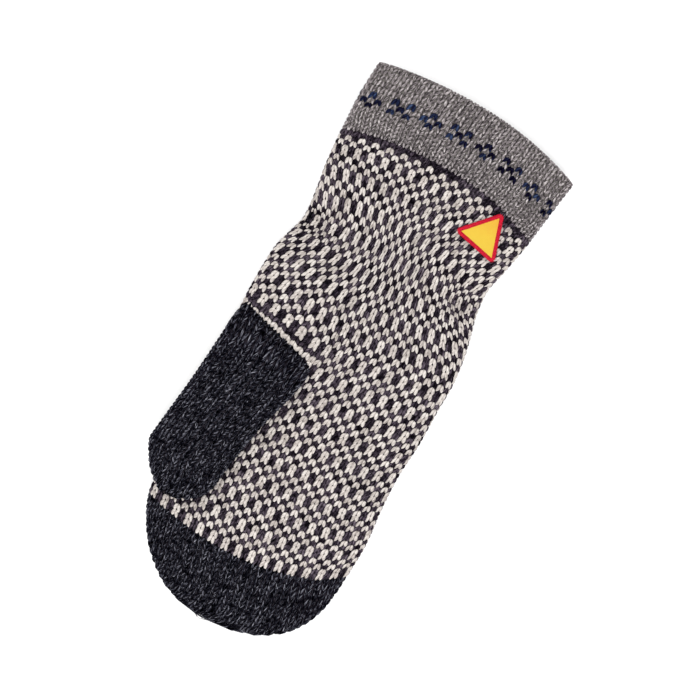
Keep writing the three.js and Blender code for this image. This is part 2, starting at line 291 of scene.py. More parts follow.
# The closed ends: the rows next to the tip that lie closer together, the columns each way from a
# face's middle, and how far stitches keep from its edges
TIP_ROWS = 3
TIP_STEPS = 13
TIP_GAP = 0.02
CAP_REACH = 17
CAP_MARGIN = 0.2
THUMB_REACH = 8
THUMB_MARGIN = 0.1
THUMB_SUNK = 1.5

# The walls of the closed ends: their rings, the points round each, and how far the cap's reaches
CAP_GROUND_RINGS = 24
CAP_GROUND_AROUND = 128
CAP_GROUND_SHARE = 0.99
THUMB_GROUND_RINGS = 20
THUMB_GROUND_AROUND = 64

# The thumb's hollow as a closed form, and how the walls above a place are counted
HOLLOW_RINGS = 60
HOLLOW_AROUND = 48
HOLLOW_SHARE = 0.97
LOOK_UP = (0.013, 0.007, 1)
LOOK_STEP = 1e-4

# How deep the stitches and the walls behind them lie, in millimetres
STITCH_DEPTH = 0.6
GROUND_DEPTH = 1.0
HEM_GROUND_INSET = 1.7

# How far a stitch's middle is from its point and a wall's edge from its piece's, in rows
STITCH_MIDDLE = 0.6
GROUND_START = 0.1

# Where the random draws start
SEED = 7

# One leg of a stitch: its grain of yarn, how far it starts below its row, how sharply it dives at
# each end, and how far pairs of legs lean at random, in radians
GRAIN = {"Segments": 6, "Rings": 5, "Radius": 1.0}
LEG_OVERLAP = 0.06
POINT_POWER = 3.0
END_POWER = 4.0
LEAST_LEAN = (-0.04, -0.04, -0.06)
MOST_LEAN = (0.04, 0.04, 0.06)

# How far apart the strands' random patterns lie, from stitch to stitch and from leg to leg, and how
# much the strands turn along the yarn
STITCH_PATTERN = 97.0
LEG_PATTERN = 11.0
STRAND_TURN = 0.35

# Stitch sizes, in columns and rows
CREAM_YARN = {"Half width": 0.275, "Length": 1.5}
CUFF_YARN = {
    "Half width": 0.185,
    "Half thickness": 0.6,
    "Length": 1.4,
    "Point offset": 0.12,
    "End offset": 0.38,
    "Point depth": 1.1,
    "End depth": 0.75,
}
FIGURE_YARN = {"Half width": 0.26, "Half thickness": 0.66, "Point offset": 0.12, "End offset": 0.37}
PLAIN_YARN = {
    "Half width": 0.165,
    "Half thickness": 0.6,
    "Length": 1.5,
    "Point offset": 0.1,
    "End offset": 0.41,
    "Point depth": 1.1,
    "End depth": 0.75,
}
# The label: a rounded triangle, its point towards the cuff, with an overlocked edge
LABEL_SIDE = 25.2
LABEL_ROUND = 1.5
LABEL_ALONG = 51.6
LABEL_ACROSS = -0.273 * CUFF_WIDTH
LABEL_TURN = math.radians(10.4)
LABEL_CLEARANCE = 0.6
LABEL_RINGS = 12
LABEL_CORNER_STEPS = 6
LABEL_STEP = 0.6
LABEL_ORANGE_TO = 0.016
WEAVE_PITCH = 9000.0
FIELD_INSET = 0.6
FIELD_LEVEL = 0.75
EDGE_INSET = 0.95
EDGE_LEVEL = 0.55

# Stitches are held inside this part of a fabric sheet's map
SHEET_FIRST = (0.0002, 0.0002, 0.0)
SHEET_LAST = (0.9998, 0.9998, 1.0)


def table_of_tube():
    """The sections as one table in millimetres: along, half widths, height and the two lags."""
    rows = []
    parts = (CUFF_SECTIONS, 0.0, CUFF_LENGTH), (BODY_SECTIONS, CUFF_LENGTH, BODY_LENGTH)
    for sections, start, length in parts:
        for along, width, thumb_side, far_side, height, thumb_lag, far_lag in sections:
            rows.append((
                start + along * length,
                thumb_side * width,
                far_side * width,
                height * BODY_HEIGHT,
                thumb_lag * PALM_WIDTH,
                far_lag * PALM_WIDTH,
            ))
    return np.array(rows)


TUBE = table_of_tube()
THUMB = np.array(THUMB_SECTIONS) * (THUMB_LENGTH, PALM_WIDTH, THUMB_WIDTH)


def smooth(table, column, at):
    """A smooth curve through a column of a table, with slopes taken from the neighbouring rows."""
    knots, values = table[:, 0], table[:, column]
    slopes = np.empty(len(knots))
    slopes[1:-1] = (values[2:] - values[:-2]) / (knots[2:] - knots[:-2])
    slopes[0] = (values[1] - values[0]) / (knots[1] - knots[0])
    slopes[-1] = (values[-1] - values[-2]) / (knots[-1] - knots[-2])
    i = np.searchsorted(knots[1:-1], at)
    span = knots[i + 1] - knots[i]
    t = (at - knots[i]) / span
    rise = t * t * (3 - 2 * t)
    leave = t * (1 - t) ** 2
    arrive = t * t * (t - 1)
    straight = values[i] + (values[i + 1] - values[i]) * rise
    return straight + span * (slopes[i] * leave + slopes[i + 1] * arrive)


def smoothstep(value, low, high):
    t = np.clip((value - low) / (high - low), 0, 1)
    return t * t * (3 - 2 * t)


def signed_power(value, power):
    return np.sign(value) * np.abs(value) ** power


def rounding(t, shape):
    """A rounded end's shrinking from 1 to 0 as t goes from 0 to 1."""
    power, root = shape
    return np.maximum(1 - t ** power, 0) ** root


def look_up(table, at):
    """Straight lines between the rows of a table with two columns."""
    return np.interp(at, *np.array(table).T)


def bell(value, middle, reach):
    """1 at the middle, fading to 0 on both sides."""
    return np.exp(-((value - middle) / reach) ** 2)


def cap_share(along):
    """How far into the cap a length lies, from 0 to 1."""
    return np.clip((along - CAP_START) / CAP_LENGTH, 0, 1)


def section_at(along):
    """The tube's half widths, height, lift and lags at a length along the palm."""
    held = np.minimum(along, CAP_START)
    t = cap_share(along)
    high = rounding(t, CAP_HIGH_ROUND)
    thumb_side = CAP_TIP_X + (smooth(TUBE, 1, held) - CAP_TIP_X) * rounding(t, CAP_THUMB_ROUND)
    far_side = -CAP_TIP_X + (smooth(TUBE, 2, held) + CAP_TIP_X) * rounding(t, CAP_FAR_ROUND)
    height = smooth(TUBE, 3, held)
    lift = height * CAP_TIP_LIFT * (1 - high)
    thumb_lag, far_lag = smooth(TUBE, 4, held) * (1 - t), smooth(TUBE, 5, held) * (1 - t)
    return thumb_side, far_side, height * high, lift, thumb_lag, far_lag


def sink(x, y):
    """How deep the upper face's hollows are at a place."""
    depth = 0.0
    for at_x, along, wide, long, deep in HOLLOWS:
        depth = depth + deep * np.exp(-((x - at_x) / wide) ** 2 - ((y - START_Y - along) / long) ** 2)
    return depth


def tube_point(along, angle, grow=0.0):
    """A point of the tube: angle 0 is the thumb's edge, a quarter turn is the palm's middle."""
    thumb_side, far_side, height, lift, thumb_lag, far_lag = section_at(along)
    up = np.sin(angle)
    power = 2 / np.where(up >= 0, UPPER_SQUARENESS, LOWER_SQUARENESS)
    side = signed_power(np.cos(angle), power)
    x = 0.5 * (thumb_side - far_side) + side * np.maximum(0.5 * (thumb_side + far_side) + grow, 0)
    y = START_Y + along + np.where(side >= 0, thumb_lag, far_lag) * side * side + grow * cap_share(along)
    rise = signed_power(up, power)
    level = np.where(up >= 0, rise, np.maximum(rise * LOWER_FLATNESS, -1))
    z = lift + 0.5 * height + level * np.maximum(0.5 * height + grow, 0)
    z = z - smoothstep(up, 0, HOLLOW_FADE) * sink(x, y)
    return np.stack(np.broadcast_arrays(x, y, z), axis=-1)


def face_level(x, y):
    """Height of the upper face over a place on the table."""
    low, high = np.zeros_like(x), np.full_like(x, TOTAL_LENGTH)
    for _ in range(LEVEL_HALVINGS):
        guess = 0.5 * (low + high)
        thumb_side, far_side, _, _, thumb_lag, far_lag = section_at(guess)
        side = np.clip((x - 0.5 * (thumb_side - far_side)) / (0.5 * (thumb_side + far_side)), -1, 1)
        before = START_Y + guess + np.where(side >= 0, thumb_lag, far_lag) * side * side < y
        low, high = np.where(before, guess, low), np.where(before, high, guess)
    thumb_side, far_side, height, lift, _, _ = section_at(low)
    side = np.clip((x - 0.5 * (thumb_side - far_side)) / (0.5 * (thumb_side + far_side)), -1, 1)
    level = (1 - np.abs(side) ** UPPER_SQUARENESS) ** (1 / UPPER_SQUARENESS)
    return lift + 0.5 * height * (1 + level) - sink(x, y)


def thumb_level(along):
    """Height of the thumb's middle line: it climbs out of the palm, then lies along it."""
    x = smooth(THUMB, 1, np.minimum(along, THUMB_TIP_START))
    bed = face_level(x, START_Y + THUMB_LINE + along)
    below = THUMB_DEPTH - math.tan(THUMB_RISE) * along
    return bed + THUMB_LIFT + 0.5 * THUMB_HEIGHT - 0.5 * (below + np.hypot(below, THUMB_EASE))


def thumb_point(along, angle, grow=0.0):
    """A point of the thumb: angle 0 is its edge over the palm's edge, a quarter turn is its top."""
    t = np.clip((along - THUMB_TIP_START) / (THUMB_LENGTH - THUMB_TIP_START), 0, 1)
    held = np.minimum(along, THUMB_TIP_START)
    low = rounding(t, THUMB_HIGH_ROUND)
    wide = smooth(THUMB, 2, held)
    outer, inner = rounding(t, THUMB_OUTER_ROUND), rounding(t, THUMB_INNER_ROUND)
    half = np.maximum(0.5 * wide * (outer + inner) + grow, 0)
    middle = smooth(THUMB, 1, held) + 0.5 * wide * (outer - inner)
    deep = np.maximum(0.5 * THUMB_HEIGHT * low + grow, 0)
    step = 0.5
    climb = (thumb_level(along + step) - thumb_level(along - step)) / (2 * step)
    lean = 1 / np.hypot(1, climb)
    up = np.sin(angle)
    settled = smoothstep(along, 0, THUMB_DEPTH)
    upper = ROOT_SQUARENESS + (UPPER_SQUARENESS - ROOT_SQUARENESS) * settled
    power = 2 / np.where(up >= 0, upper, LOWER_SQUARENESS)
    x = signed_power(np.cos(angle), power) * half
    rise = signed_power(up, power) * deep
    slant = (1 - np.clip(along / THUMB_TIP_START, 0, 1)) * THUMB_LINE_SLOPE
    y = START_Y + THUMB_LINE + along + x * slant - rise * climb * lean + grow * t
    z = thumb_level(along) - 0.5 * THUMB_HEIGHT * (1 - low) + rise * lean
    z = z - THUMB_DROOP * x * settled
    return np.stack(np.broadcast_arrays(middle + x, y, z), axis=-1)


def row_places():
    """How far up the hand each row starts, as a fine table of row and millimetres."""
    rows = np.linspace(0, BODY_ROWS, ROW_SAMPLES)
    steps = look_up(ROW_SPACING, 0.5 * (rows[1:] + rows[:-1]))
    places = np.concatenate(([0], np.cumsum(steps)))
    return rows, places * BODY_LENGTH / places[-1]


BODY_ROW, BODY_PLACE = row_places()


def along_at(row):
    """Length along the palm of a row that is counted from the mouth's fold."""
    cuff = look_up(CUFF_PLACES, row)
    body = CUFF_LENGTH + np.interp(row - CUFF_ROWS, BODY_ROW, BODY_PLACE)
    cap = CAP_START + (row - BODY_END) * CAP_LENGTH / CAP_ROWS
    return np.where(row < CUFF_ROWS, cuff, np.where(row <= BODY_END, body, cap))


def hem_path(row, inset):
    """Length along and growth for a row near the mouth; rows below 0 are the hem's inner side."""
    wall = CUFF_WALL / 2 - inset
    arc = QUARTER_TURN * wall
    walked = look_up(CUFF_PLACES, np.abs(row))
    turn = np.clip(walked / wall, 0, QUARTER_TURN)
    along = CUFF_WALL / 2 - wall * np.cos(turn) + np.maximum(walked - arc, 0)
    out = np.where(row >= 0, 1.0, -1.0)
    grow = -CUFF_WALL / 2 + out * wall * np.sin(turn)
    along = np.where(row < CUFF_ROWS, along, along_at(row))
    blend = smoothstep(row, 0.5 * CUFF_ROWS, CUFF_ROWS)
    along = np.where((row >= 0) & (row <= CUFF_ROWS), along + (along_at(row) - along) * blend, along)
    return along, grow


def spread(ring, shares):
    """The angles at which shares of a ring's length are reached; its two halves count as equal."""
    turns = 3
    angles = np.linspace(-FULL_TURN, 2 * FULL_TURN, turns * RING_SAMPLES + 1)
    points = ring(angles)
    steps = np.linalg.norm(np.diff(points, axis=0), axis=1)
    upper = np.sin(0.5 * (angles[1:] + angles[:-1])) > 0
    steps = np.where(upper, steps / steps[upper].sum(), steps / steps[~upper].sum()) * (turns / 2)
    places = np.concatenate(([0], np.cumsum(steps))) - 1
    return np.interp(shares, places, angles)


def from_edge(columns):
    """Columns counted from the thumb's edge, the last few before it as negative numbers."""
    return (columns + EDGE_COLUMNS) % COLUMNS - EDGE_COLUMNS


def drift_at(columns, row):
    """How many columns the stitches drift towards the thumb's side; rows count from the cuff's end."""
    at = from_edge(columns)
    on_hand = smoothstep(row, -CUFF_DRIFT_FADE, 0)
    on_palm = look_up(DRIFT_ROUND, at) * ((1 - bell(row, CALM_ROW, CALM_ROWS)) * on_hand)
    on_cuff = look_up(CUFF_DRIFT, at) * (1 - on_hand)
    by_thumb = look_up(THUMB_DRIFT, at) * bell(row, THUMB_DRIFT_ROW, THUMB_DRIFT_ROWS)
    return look_up(DRIFT, row) + on_palm + on_cuff - by_thumb


def column_shares(columns, row):
    """Where columns sit round the tube, as shares of it: the wrist's gathers draw the palm's together."""
    gather = GATHER * bell(row - CUFF_ROWS, GATHER_ROW, GATHER_ROWS)
    from_middle = columns - COLUMNS / 4 - drift_at(columns, row - CUFF_ROWS)
    turn = FULL_TURN * from_middle / COLUMNS
    return 0.25 + from_middle / COLUMNS - gather / FULL_TURN * np.sin(turn)


def pinch(points):
    """Draws the upper face's stitches towards the wrist's dimples."""
    for x, along, _, _, _ in DIMPLES:
        offset = points[..., :2] - (x, START_Y + along)
        near = np.exp(-(offset ** 2).sum(-1) / DIMPLE_REACH ** 2)
        near = near * smoothstep(points[..., 2], *DIMPLE_LEVELS)
        points[..., :2] -= DIMPLE_PINCH * near[..., None] * offset
    return points


def waved(skin, rows, columns):
    """Slides a skin's points up and down their columns, as far as the rows wave."""
    wave_rows = np.array([row for row, _ in WAVES]) + CUFF_ROWS
    waves = np.array([wave for _, wave in WAVES])
    at_columns = np.stack([np.interp(from_edge(columns), WAVE_COLUMNS, wave) for wave in waves])
    pitch = BODY_LENGTH / BODY_ROWS
    moved = skin.copy()
    for j in range(len(columns)):
        places = rows + np.interp(rows, wave_rows, at_columns[:, j]) / pitch
        for axis in range(3):
            moved[:, j, axis] = np.interp(places, rows, skin[:, j, axis])
    return moved


def plain_skin(rows, columns, inset=0.0, grow=0.0):
    """Points of the cuff and hand for a grid of rows and columns, before the rows wave."""
    skin = np.empty((len(rows), len(columns), 3))
    along, growth = hem_path(rows, inset)
    for i, row in enumerate(rows):
        angles = spread(lambda a: tube_point(along[i], a), column_shares(columns, row))
        skin[i] = tube_point(along[i], angles, growth[i] + grow)
    return skin


def tube_skin(rows, columns, grow=0.0):
    """The same with waving rows and the stitches drawn in at the dimples."""
    return pinch(waved(plain_skin(rows, columns, 0.0, grow), rows, columns))


def arc_from_middle(ring, angles, middle):
    """Length round a ring of points, counted from the angle at a face's middle."""
    steps = np.linalg.norm(np.diff(ring, axis=0), axis=1)
    arc = np.concatenate(([0], np.cumsum(steps)))
    return arc - np.interp(middle, angles, arc)


def face_skin(point, rows, along, columns, top, held, columns_across):
    """Points of one face of a closed end, whose columns run straight on from where it starts."""
    middle = QUARTER_TURN if top else -QUARTER_TURN
    ends = (middle - QUARTER_TURN, middle + QUARTER_TURN)
    angles = middle + np.linspace(-FULL_TURN, FULL_TURN, 2 * RING_SAMPLES + 1) * FACE_REACH
    skin = np.empty((len(rows), len(columns), 3))
    edges = np.empty((len(rows), 2))
    for i in range(len(rows)):
        arc = arc_from_middle(point(along[i], angles), angles, middle)
        start = arc_from_middle(point(min(along[i], held), angles), angles, middle)
        width = np.diff(np.interp(ends, angles, start))[0] / columns_across
        edges[i] = np.interp(ends, angles, arc) / width
        skin[i] = point(along[i], np.interp(columns * width, arc, angles))
    return skin, edges


def outward_of(points):
    """Unit normals of a grid of points whose columns run round the form against the clock."""
    normals = np.cross(np.gradient(points, axis=0), np.gradient(points, axis=1))
    length = np.linalg.norm(normals, axis=-1, keepdims=True)
    return normals / np.maximum(length, TINY)


def grid_faces(count_rows, count_columns):
    i, j = np.meshgrid(np.arange(count_rows - 1), np.arange(count_columns - 1), indexing="ij")
    a = (i * count_columns + j).ravel()
    return np.stack((a, a + 1, a + count_columns + 1, a + count_columns), axis=1).tolist()


def add_uv(mesh, name, values):
    """A UV map from one pair of numbers for each vertex."""
    layer = mesh.uv_layers.new(name=name)
    corners = np.empty(len(mesh.loops), np.int32)
    mesh.loops.foreach_get("vertex_index", corners)
    layer.data.foreach_set("uv", values[corners].astype(np.float32).ravel())


def new_object(name, data):
    made = bpy.data.objects.new(name, data)
    bpy.context.scene.collection.objects.link(made)
    return made


def mesh_object(name, points, faces=(), edges=()):
    """An object from points in millimetres."""
    mesh = bpy.data.meshes.new(name)
    mesh.from_pydata((np.asarray(points) * MM).tolist(), edges, faces)
    return new_object(name, mesh)


def soft_piece(name, points, faces, material):
    """A smooth piece of one material."""
    piece = mesh_object(name, points, faces)
    piece.data.materials.append(material)
    piece.data.polygons.foreach_set("use_smooth", np.ones(len(faces), bool))
    return piece


def fabric_sheet(name, points, rows, columns):
    """A helper mesh that the stitches are laid on, with its fabric coordinates as a UV map."""
    sheet = mesh_object(name, points.reshape(-1, 3), grid_faces(len(rows), len(columns)))
    outward = sheet.data.attributes.new("outward", "FLOAT_VECTOR", "POINT")
    outward.data.foreach_set("vector", outward_of(points).astype(np.float32).ravel())
    u = (columns - columns[0]) / (columns[-1] - columns[0])
    v = (rows - rows[0]) / (rows[-1] - rows[0])
    grid = np.stack(np.meshgrid(u, v), axis=-1).reshape(-1, 2)
    add_uv(sheet.data, "fabric", grid)
    sheet["first"] = (float(columns[0]), float(rows[0]), 0.0)
    sheet["count"] = (float(columns[-1] - columns[0]), float(rows[-1] - rows[0]), 1.0)
    return sheet


# Node building


def place(tree, kind, inputs=None, **settings):
    """A node of that kind. An input is given a value, or linked where the value is a socket."""
    made = tree.nodes.new(kind)
    for name, value in settings.items():
        setattr(made, name, value)
    for key, value in (inputs or {}).items():
        if isinstance(value, bpy.types.NodeSocket):
            tree.links.new(value, made.inputs[key])
        else:
            made.inputs[key].default_value = value
    return made


def calc(tree, operation, *values):
    return place(tree, "ShaderNodeMath", dict(enumerate(values)), operation=operation).outputs[0]


def calc_vector(tree, operation, *values):
    inputs = dict(enumerate(values))
    return place(tree, "ShaderNodeVectorMath", inputs, operation=operation).outputs[0]


def parts_of(tree, vector):
    return place(tree, "ShaderNodeSeparateXYZ", {0: vector}).outputs


def vector_of(tree, **parts):
    return place(tree, "ShaderNodeCombineXYZ", parts).outputs[0]


def position_of(tree):
    return place(tree, "GeometryNodeInputPosition").outputs[0]


def moved(tree, geometry, **where):
    """Geometry whose points are put at a Position or moved by an Offset."""
    return place(tree, "GeometryNodeSetPosition", {"Geometry": geometry, **where}).outputs[0]


def stored(tree, geometry, name, value, kind="FLOAT", domain="POINT"):
    """Geometry that carries a named attribute."""
    inputs = {"Geometry": geometry, "Name": name, "Value": value}
    node = "GeometryNodeStoreNamedAttribute"
    return place(tree, node, inputs, data_type=kind, domain=domain).outputs[0]


def random_vector(tree, seed, low, high):
    inputs = {"Min": low, "Max": high, "Seed": seed}
    return place(tree, "FunctionNodeRandomValue", inputs, data_type="FLOAT_VECTOR").outputs["Value"]


def random_size(tree, given):
    """A size near 1 in each direction, as far off it as the tree's Unevenness says."""
    low = calc_vector(tree, "SUBTRACT", (1, 1, 1), given["Unevenness"])
    high = calc_vector(tree, "ADD", (1, 1, 1), given["Unevenness"])
    return random_vector(tree, given["Seed"], low, high)


def made_real(tree, copies):
    return place(tree, "GeometryNodeRealizeInstances", {"Geometry": copies}).outputs[0]


def smooth_and_dressed(tree, geometry, material):
    soft = place(tree, "GeometryNodeSetShadeSmooth", {"Geometry": geometry}).outputs[0]
    return place(tree, "GeometryNodeSetMaterial", {"Geometry": soft, "Material": material}).outputs[0]


def circle(tree, resolution, radius):
    inputs = {"Resolution": resolution, "Radius": radius}
    return place(tree, "GeometryNodeCurvePrimitiveCircle", inputs).outputs["Curve"]


def tube_along(tree, line, profile):
    return place(tree, "GeometryNodeCurveToMesh", {"Curve": line, "Profile Curve": profile}).outputs[0]


def new_tree(name, kind, inputs, outputs):
    """A node tree with named inputs and outputs. Inputs are (name, socket type, value)."""
    tree = bpy.data.node_groups.new(name, kind)
    for label, socket_type, value in inputs:
        socket = tree.interface.new_socket(name=label, in_out="INPUT", socket_type=socket_type)
        if value is not None:
            socket.default_value = value
    for label, socket_type in outputs:
        tree.interface.new_socket(name=label, in_out="OUTPUT", socket_type=socket_type)
    ends = tree.nodes.new("NodeGroupInput"), tree.nodes.new("NodeGroupOutput")
    return tree, ends[0].outputs, ends[1].inputs


GEOMETRY = "NodeSocketGeometry"
OBJECT = "NodeSocketObject"
MATERIAL = "NodeSocketMaterial"
FLOAT = "NodeSocketFloat"
INTEGER = "NodeSocketInt"
VECTOR = "NodeSocketVector"


def lay_on_fabric_group():
    """Moves points from fabric coordinates (column, row, height in mm) onto a fabric sheet."""
    tree, given, result = new_tree(
        "Lay on fabric",
        "GeometryNodeTree",
        [
            ("Geometry", GEOMETRY, None),
            ("Sheet", OBJECT, None),
            ("First", VECTOR, None),
            ("Count", VECTOR, None),
        ],
        [("Geometry", GEOMETRY)],
    )
    sheet = place(tree, "GeometryNodeObjectInfo", {"Object": given["Sheet"]}).outputs["Geometry"]
    position = position_of(tree)
    from_first = calc_vector(tree, "SUBTRACT", position, given["First"])
    share = calc_vector(tree, "DIVIDE", from_first, given["Count"])
    share = calc_vector(tree, "MINIMUM", calc_vector(tree, "MAXIMUM", share, SHEET_FIRST), SHEET_LAST)

    def attribute(name):
        node = "GeometryNodeInputNamedAttribute"
        return place(tree, node, {"Name": name}, data_type="FLOAT_VECTOR").outputs[0]

    def on_sheet(value):
        inputs = {"Mesh": sheet, "Value": value, "UV Map": attribute("fabric"), "Sample UV": share}
        node = "GeometryNodeSampleUVSurface"
        return place(tree, node, inputs, data_type="FLOAT_VECTOR").outputs["Value"]

    height = calc(tree, "MULTIPLY", parts_of(tree, position)["Z"], MM)
    raised = calc_vector(tree, "MULTIPLY", on_sheet(attribute("outward")), height)
    laid = moved(tree, given["Geometry"], Position=calc_vector(tree, "ADD", on_sheet(position), raised))
    tree.links.new(laid, result["Geometry"])
    return tree


def yarn_leg(tree, given, side):
    """One leg of a stitch: a grain of yarn that rises from the stitch's point and dives at its end."""
    grain = place(tree, "GeometryNodeMeshUVSphere", GRAIN).outputs
    mapped = stored(tree, grain["Mesh"], "grain", grain["UV Map"], "FLOAT2", "CORNER")
    parts = parts_of(tree, position_of(tree))
    t = calc(tree, "MULTIPLY_ADD", parts["Z"], 0.5, 0.5)
    slant = {"Value": t, "To Min": given["Point offset"], "To Max": given["End offset"]}
    across = place(tree, "ShaderNodeMapRange", slant, clamp=False).outputs[0]
    along = calc(tree, "MULTIPLY_ADD", t, given["Length"], -LEG_OVERLAP)
    before = calc(tree, "POWER", calc(tree, "SUBTRACT", 1.0, t), POINT_POWER)
    after = calc(tree, "POWER", t, END_POWER)
    at_end = calc(tree, "MULTIPLY", after, given["End depth"])
    dive = calc(tree, "MULTIPLY_ADD", before, given["Point depth"], at_end)
    beside = calc(tree, "MULTIPLY", parts["X"], given["Half width"])
    x = calc(tree, "MULTIPLY_ADD", across, side, beside)
    above = calc(tree, "MULTIPLY", parts["Y"], given["Half thickness"])
    placed = vector_of(tree, X=x, Y=along, Z=calc(tree, "SUBTRACT", above, dive))
    return stored(tree, moved(tree, mapped, Position=placed), "leg", side)


def stitches_group(lay_on_fabric):
    """Knitted stitches: a pair of legs on each point, laid on a fabric sheet."""
    tree, given, result = new_tree(
        "Knitted stitches",
        "GeometryNodeTree",
        [
            ("Geometry", GEOMETRY, None),
            ("Sheet", OBJECT, None),
            ("First", VECTOR, None),
            ("Count", VECTOR, None),
            ("Point offset", FLOAT, 0.13),
            ("End offset", FLOAT, 0.36),
            ("Length", FLOAT, 1.46),
            ("Half width", FLOAT, 0.26),
            ("Half thickness", FLOAT, 0.66),
            ("Point depth", FLOAT, 0.9),
            ("End depth", FLOAT, 0.5),
            ("Depth", FLOAT, STITCH_DEPTH),
            ("Unevenness", FLOAT, 0.06),
            ("Seed", INTEGER, SEED),
            ("Material", MATERIAL, None),
        ],
        [("Geometry", GEOMETRY)],
    )
    pair = place(tree, "GeometryNodeJoinGeometry")
    for side in (1.0, -1.0):
        tree.links.new(yarn_leg(tree, given, side), pair.inputs[0])
    lean_seed, shade_seed = [calc(tree, "ADD", given["Seed"], step) for step in (1, 2)]
    shade = place(tree, "FunctionNodeRandomValue", {"Seed": shade_seed}, data_type="FLOAT").outputs["Value"]
    copies = place(tree, "GeometryNodeInstanceOnPoints", {
        "Points": stored(tree, given["Geometry"], "shade", shade),
        "Instance": pair.outputs[0],
        "Scale": random_size(tree, given),
        "Rotation": random_vector(tree, lean_seed, LEAST_LEAN, MOST_LEAN),
    }).outputs[0]
    sunk = calc_vector(tree, "MULTIPLY", (0, 0, -1), given["Depth"])
    laid = place(tree, "GeometryNodeGroup", node_tree=lay_on_fabric)
    tree.links.new(moved(tree, made_real(tree, copies), Offset=sunk), laid.inputs["Geometry"])
    for name in ("Sheet", "First", "Count"):
        tree.links.new(given[name], laid.inputs[name])
    tree.links.new(smooth_and_dressed(tree, laid.outputs[0], given["Material"]), result["Geometry"])
    return tree


def merrowed_edge_group():
    """An overlocked edge: slanted rings of thread, close together round a core along a closed line."""
    tree, given, result = new_tree(
        "Merrowed edge",
        "GeometryNodeTree",
        [
            ("Geometry", GEOMETRY, None),
            ("Spacing", FLOAT, 0.42 * MM),
            ("Half width", FLOAT, 0.85 * MM),
            ("Half thickness", FLOAT, 0.5 * MM),
            ("Thread radius", FLOAT, 0.24 * MM),
            ("Core radius", FLOAT, 0.45 * MM),
            ("Slant", FLOAT, 0.35),
            ("Unevenness", FLOAT, 0.07),
            ("Seed", INTEGER, SEED),
            ("Material", MATERIAL, None),
        ],
        [("Geometry", GEOMETRY)],
    )
    line = place(tree, "GeometryNodeMeshToCurve", {"Mesh": given["Geometry"]}).outputs[0]
    spaced = {"Curve": line, "Length": given["Spacing"]}
    even = place(tree, "GeometryNodeResampleCurve", spaced, mode="LENGTH").outputs[0]
    parts = parts_of(tree, position_of(tree))
    wide = calc(tree, "MULTIPLY", parts["X"], given["Half width"])
    high = calc(tree, "MULTIPLY", parts["Y"], given["Half thickness"])
    ring = moved(tree, circle(tree, 14, 1.0), Position=vector_of(tree, Y=wide, Z=high))
    axes = {"Primary Axis": (0, 0, 1), "Secondary Axis": place(tree, "GeometryNodeInputTangent").outputs[0]}
    facing = place(tree, "FunctionNodeAxesToRotation", axes, primary_axis="Z", secondary_axis="X").outputs[0]
    slant = place(tree, "FunctionNodeEulerToRotation", {0: vector_of(tree, Z=given["Slant"])}).outputs[0]
    both_turns = {"Rotation": facing, "Rotate By": slant}
    turned = place(tree, "FunctionNodeRotateRotation", both_turns, rotation_space="LOCAL").outputs[0]
    loops = place(tree, "GeometryNodeInstanceOnPoints", {
        "Points": even,
        "Instance": tube_along(tree, ring, circle(tree, 6, given["Thread radius"])),
        "Rotation": turned,
        "Scale": random_size(tree, given),
    }).outputs[0]
    core = tube_along(tree, even, circle(tree, 8, given["Core radius"]))
    both = place(tree, "GeometryNodeJoinGeometry")
    for part in (loops, core):
        tree.links.new(part, both.inputs[0])
    real = made_real(tree, both.outputs[0])
    tree.links.new(smooth_and_dressed(tree, real, given["Material"]), result["Geometry"])
    return tree


def made_by_nodes(name, source, tree, values):
    """Runs a node tree on an object and returns the result as a plain mesh piece."""
    modifier = source.modifiers.new("making", "NODES")
    modifier.node_group = tree
    for item in tree.interface.items_tree:
        if item.item_type == "SOCKET" and item.in_out == "INPUT" and item.name in values:
            modifier[item.identifier] = values[item.name]
    graph = bpy.context.evaluated_depsgraph_get()
    graph.update()
    mesh = bpy.data.meshes.new_from_object(source.evaluated_get(graph), depsgraph=graph)
    mesh.name = name
    source.modifiers.remove(modifier)
    bpy.data.objects.remove(source)
    return new_object(name, mesh)


# Wool


def object_place(tree):
    return place(tree, "ShaderNodeTexCoord").outputs["Object"]


def noise(tree, at, scale, detail, roughness=0.5):
    inputs = {"Vector": at, "Scale": scale, "Detail": detail, "Roughness": roughness}
    return place(tree, "ShaderNodeTexNoise", inputs).outputs["Fac"]


def ribs(tree, value):
    """Round ribs, one for each step of 1."""
    return calc(tree, "ABSOLUTE", calc(tree, "SINE", calc(tree, "MULTIPLY", value, HALF_TURN)))


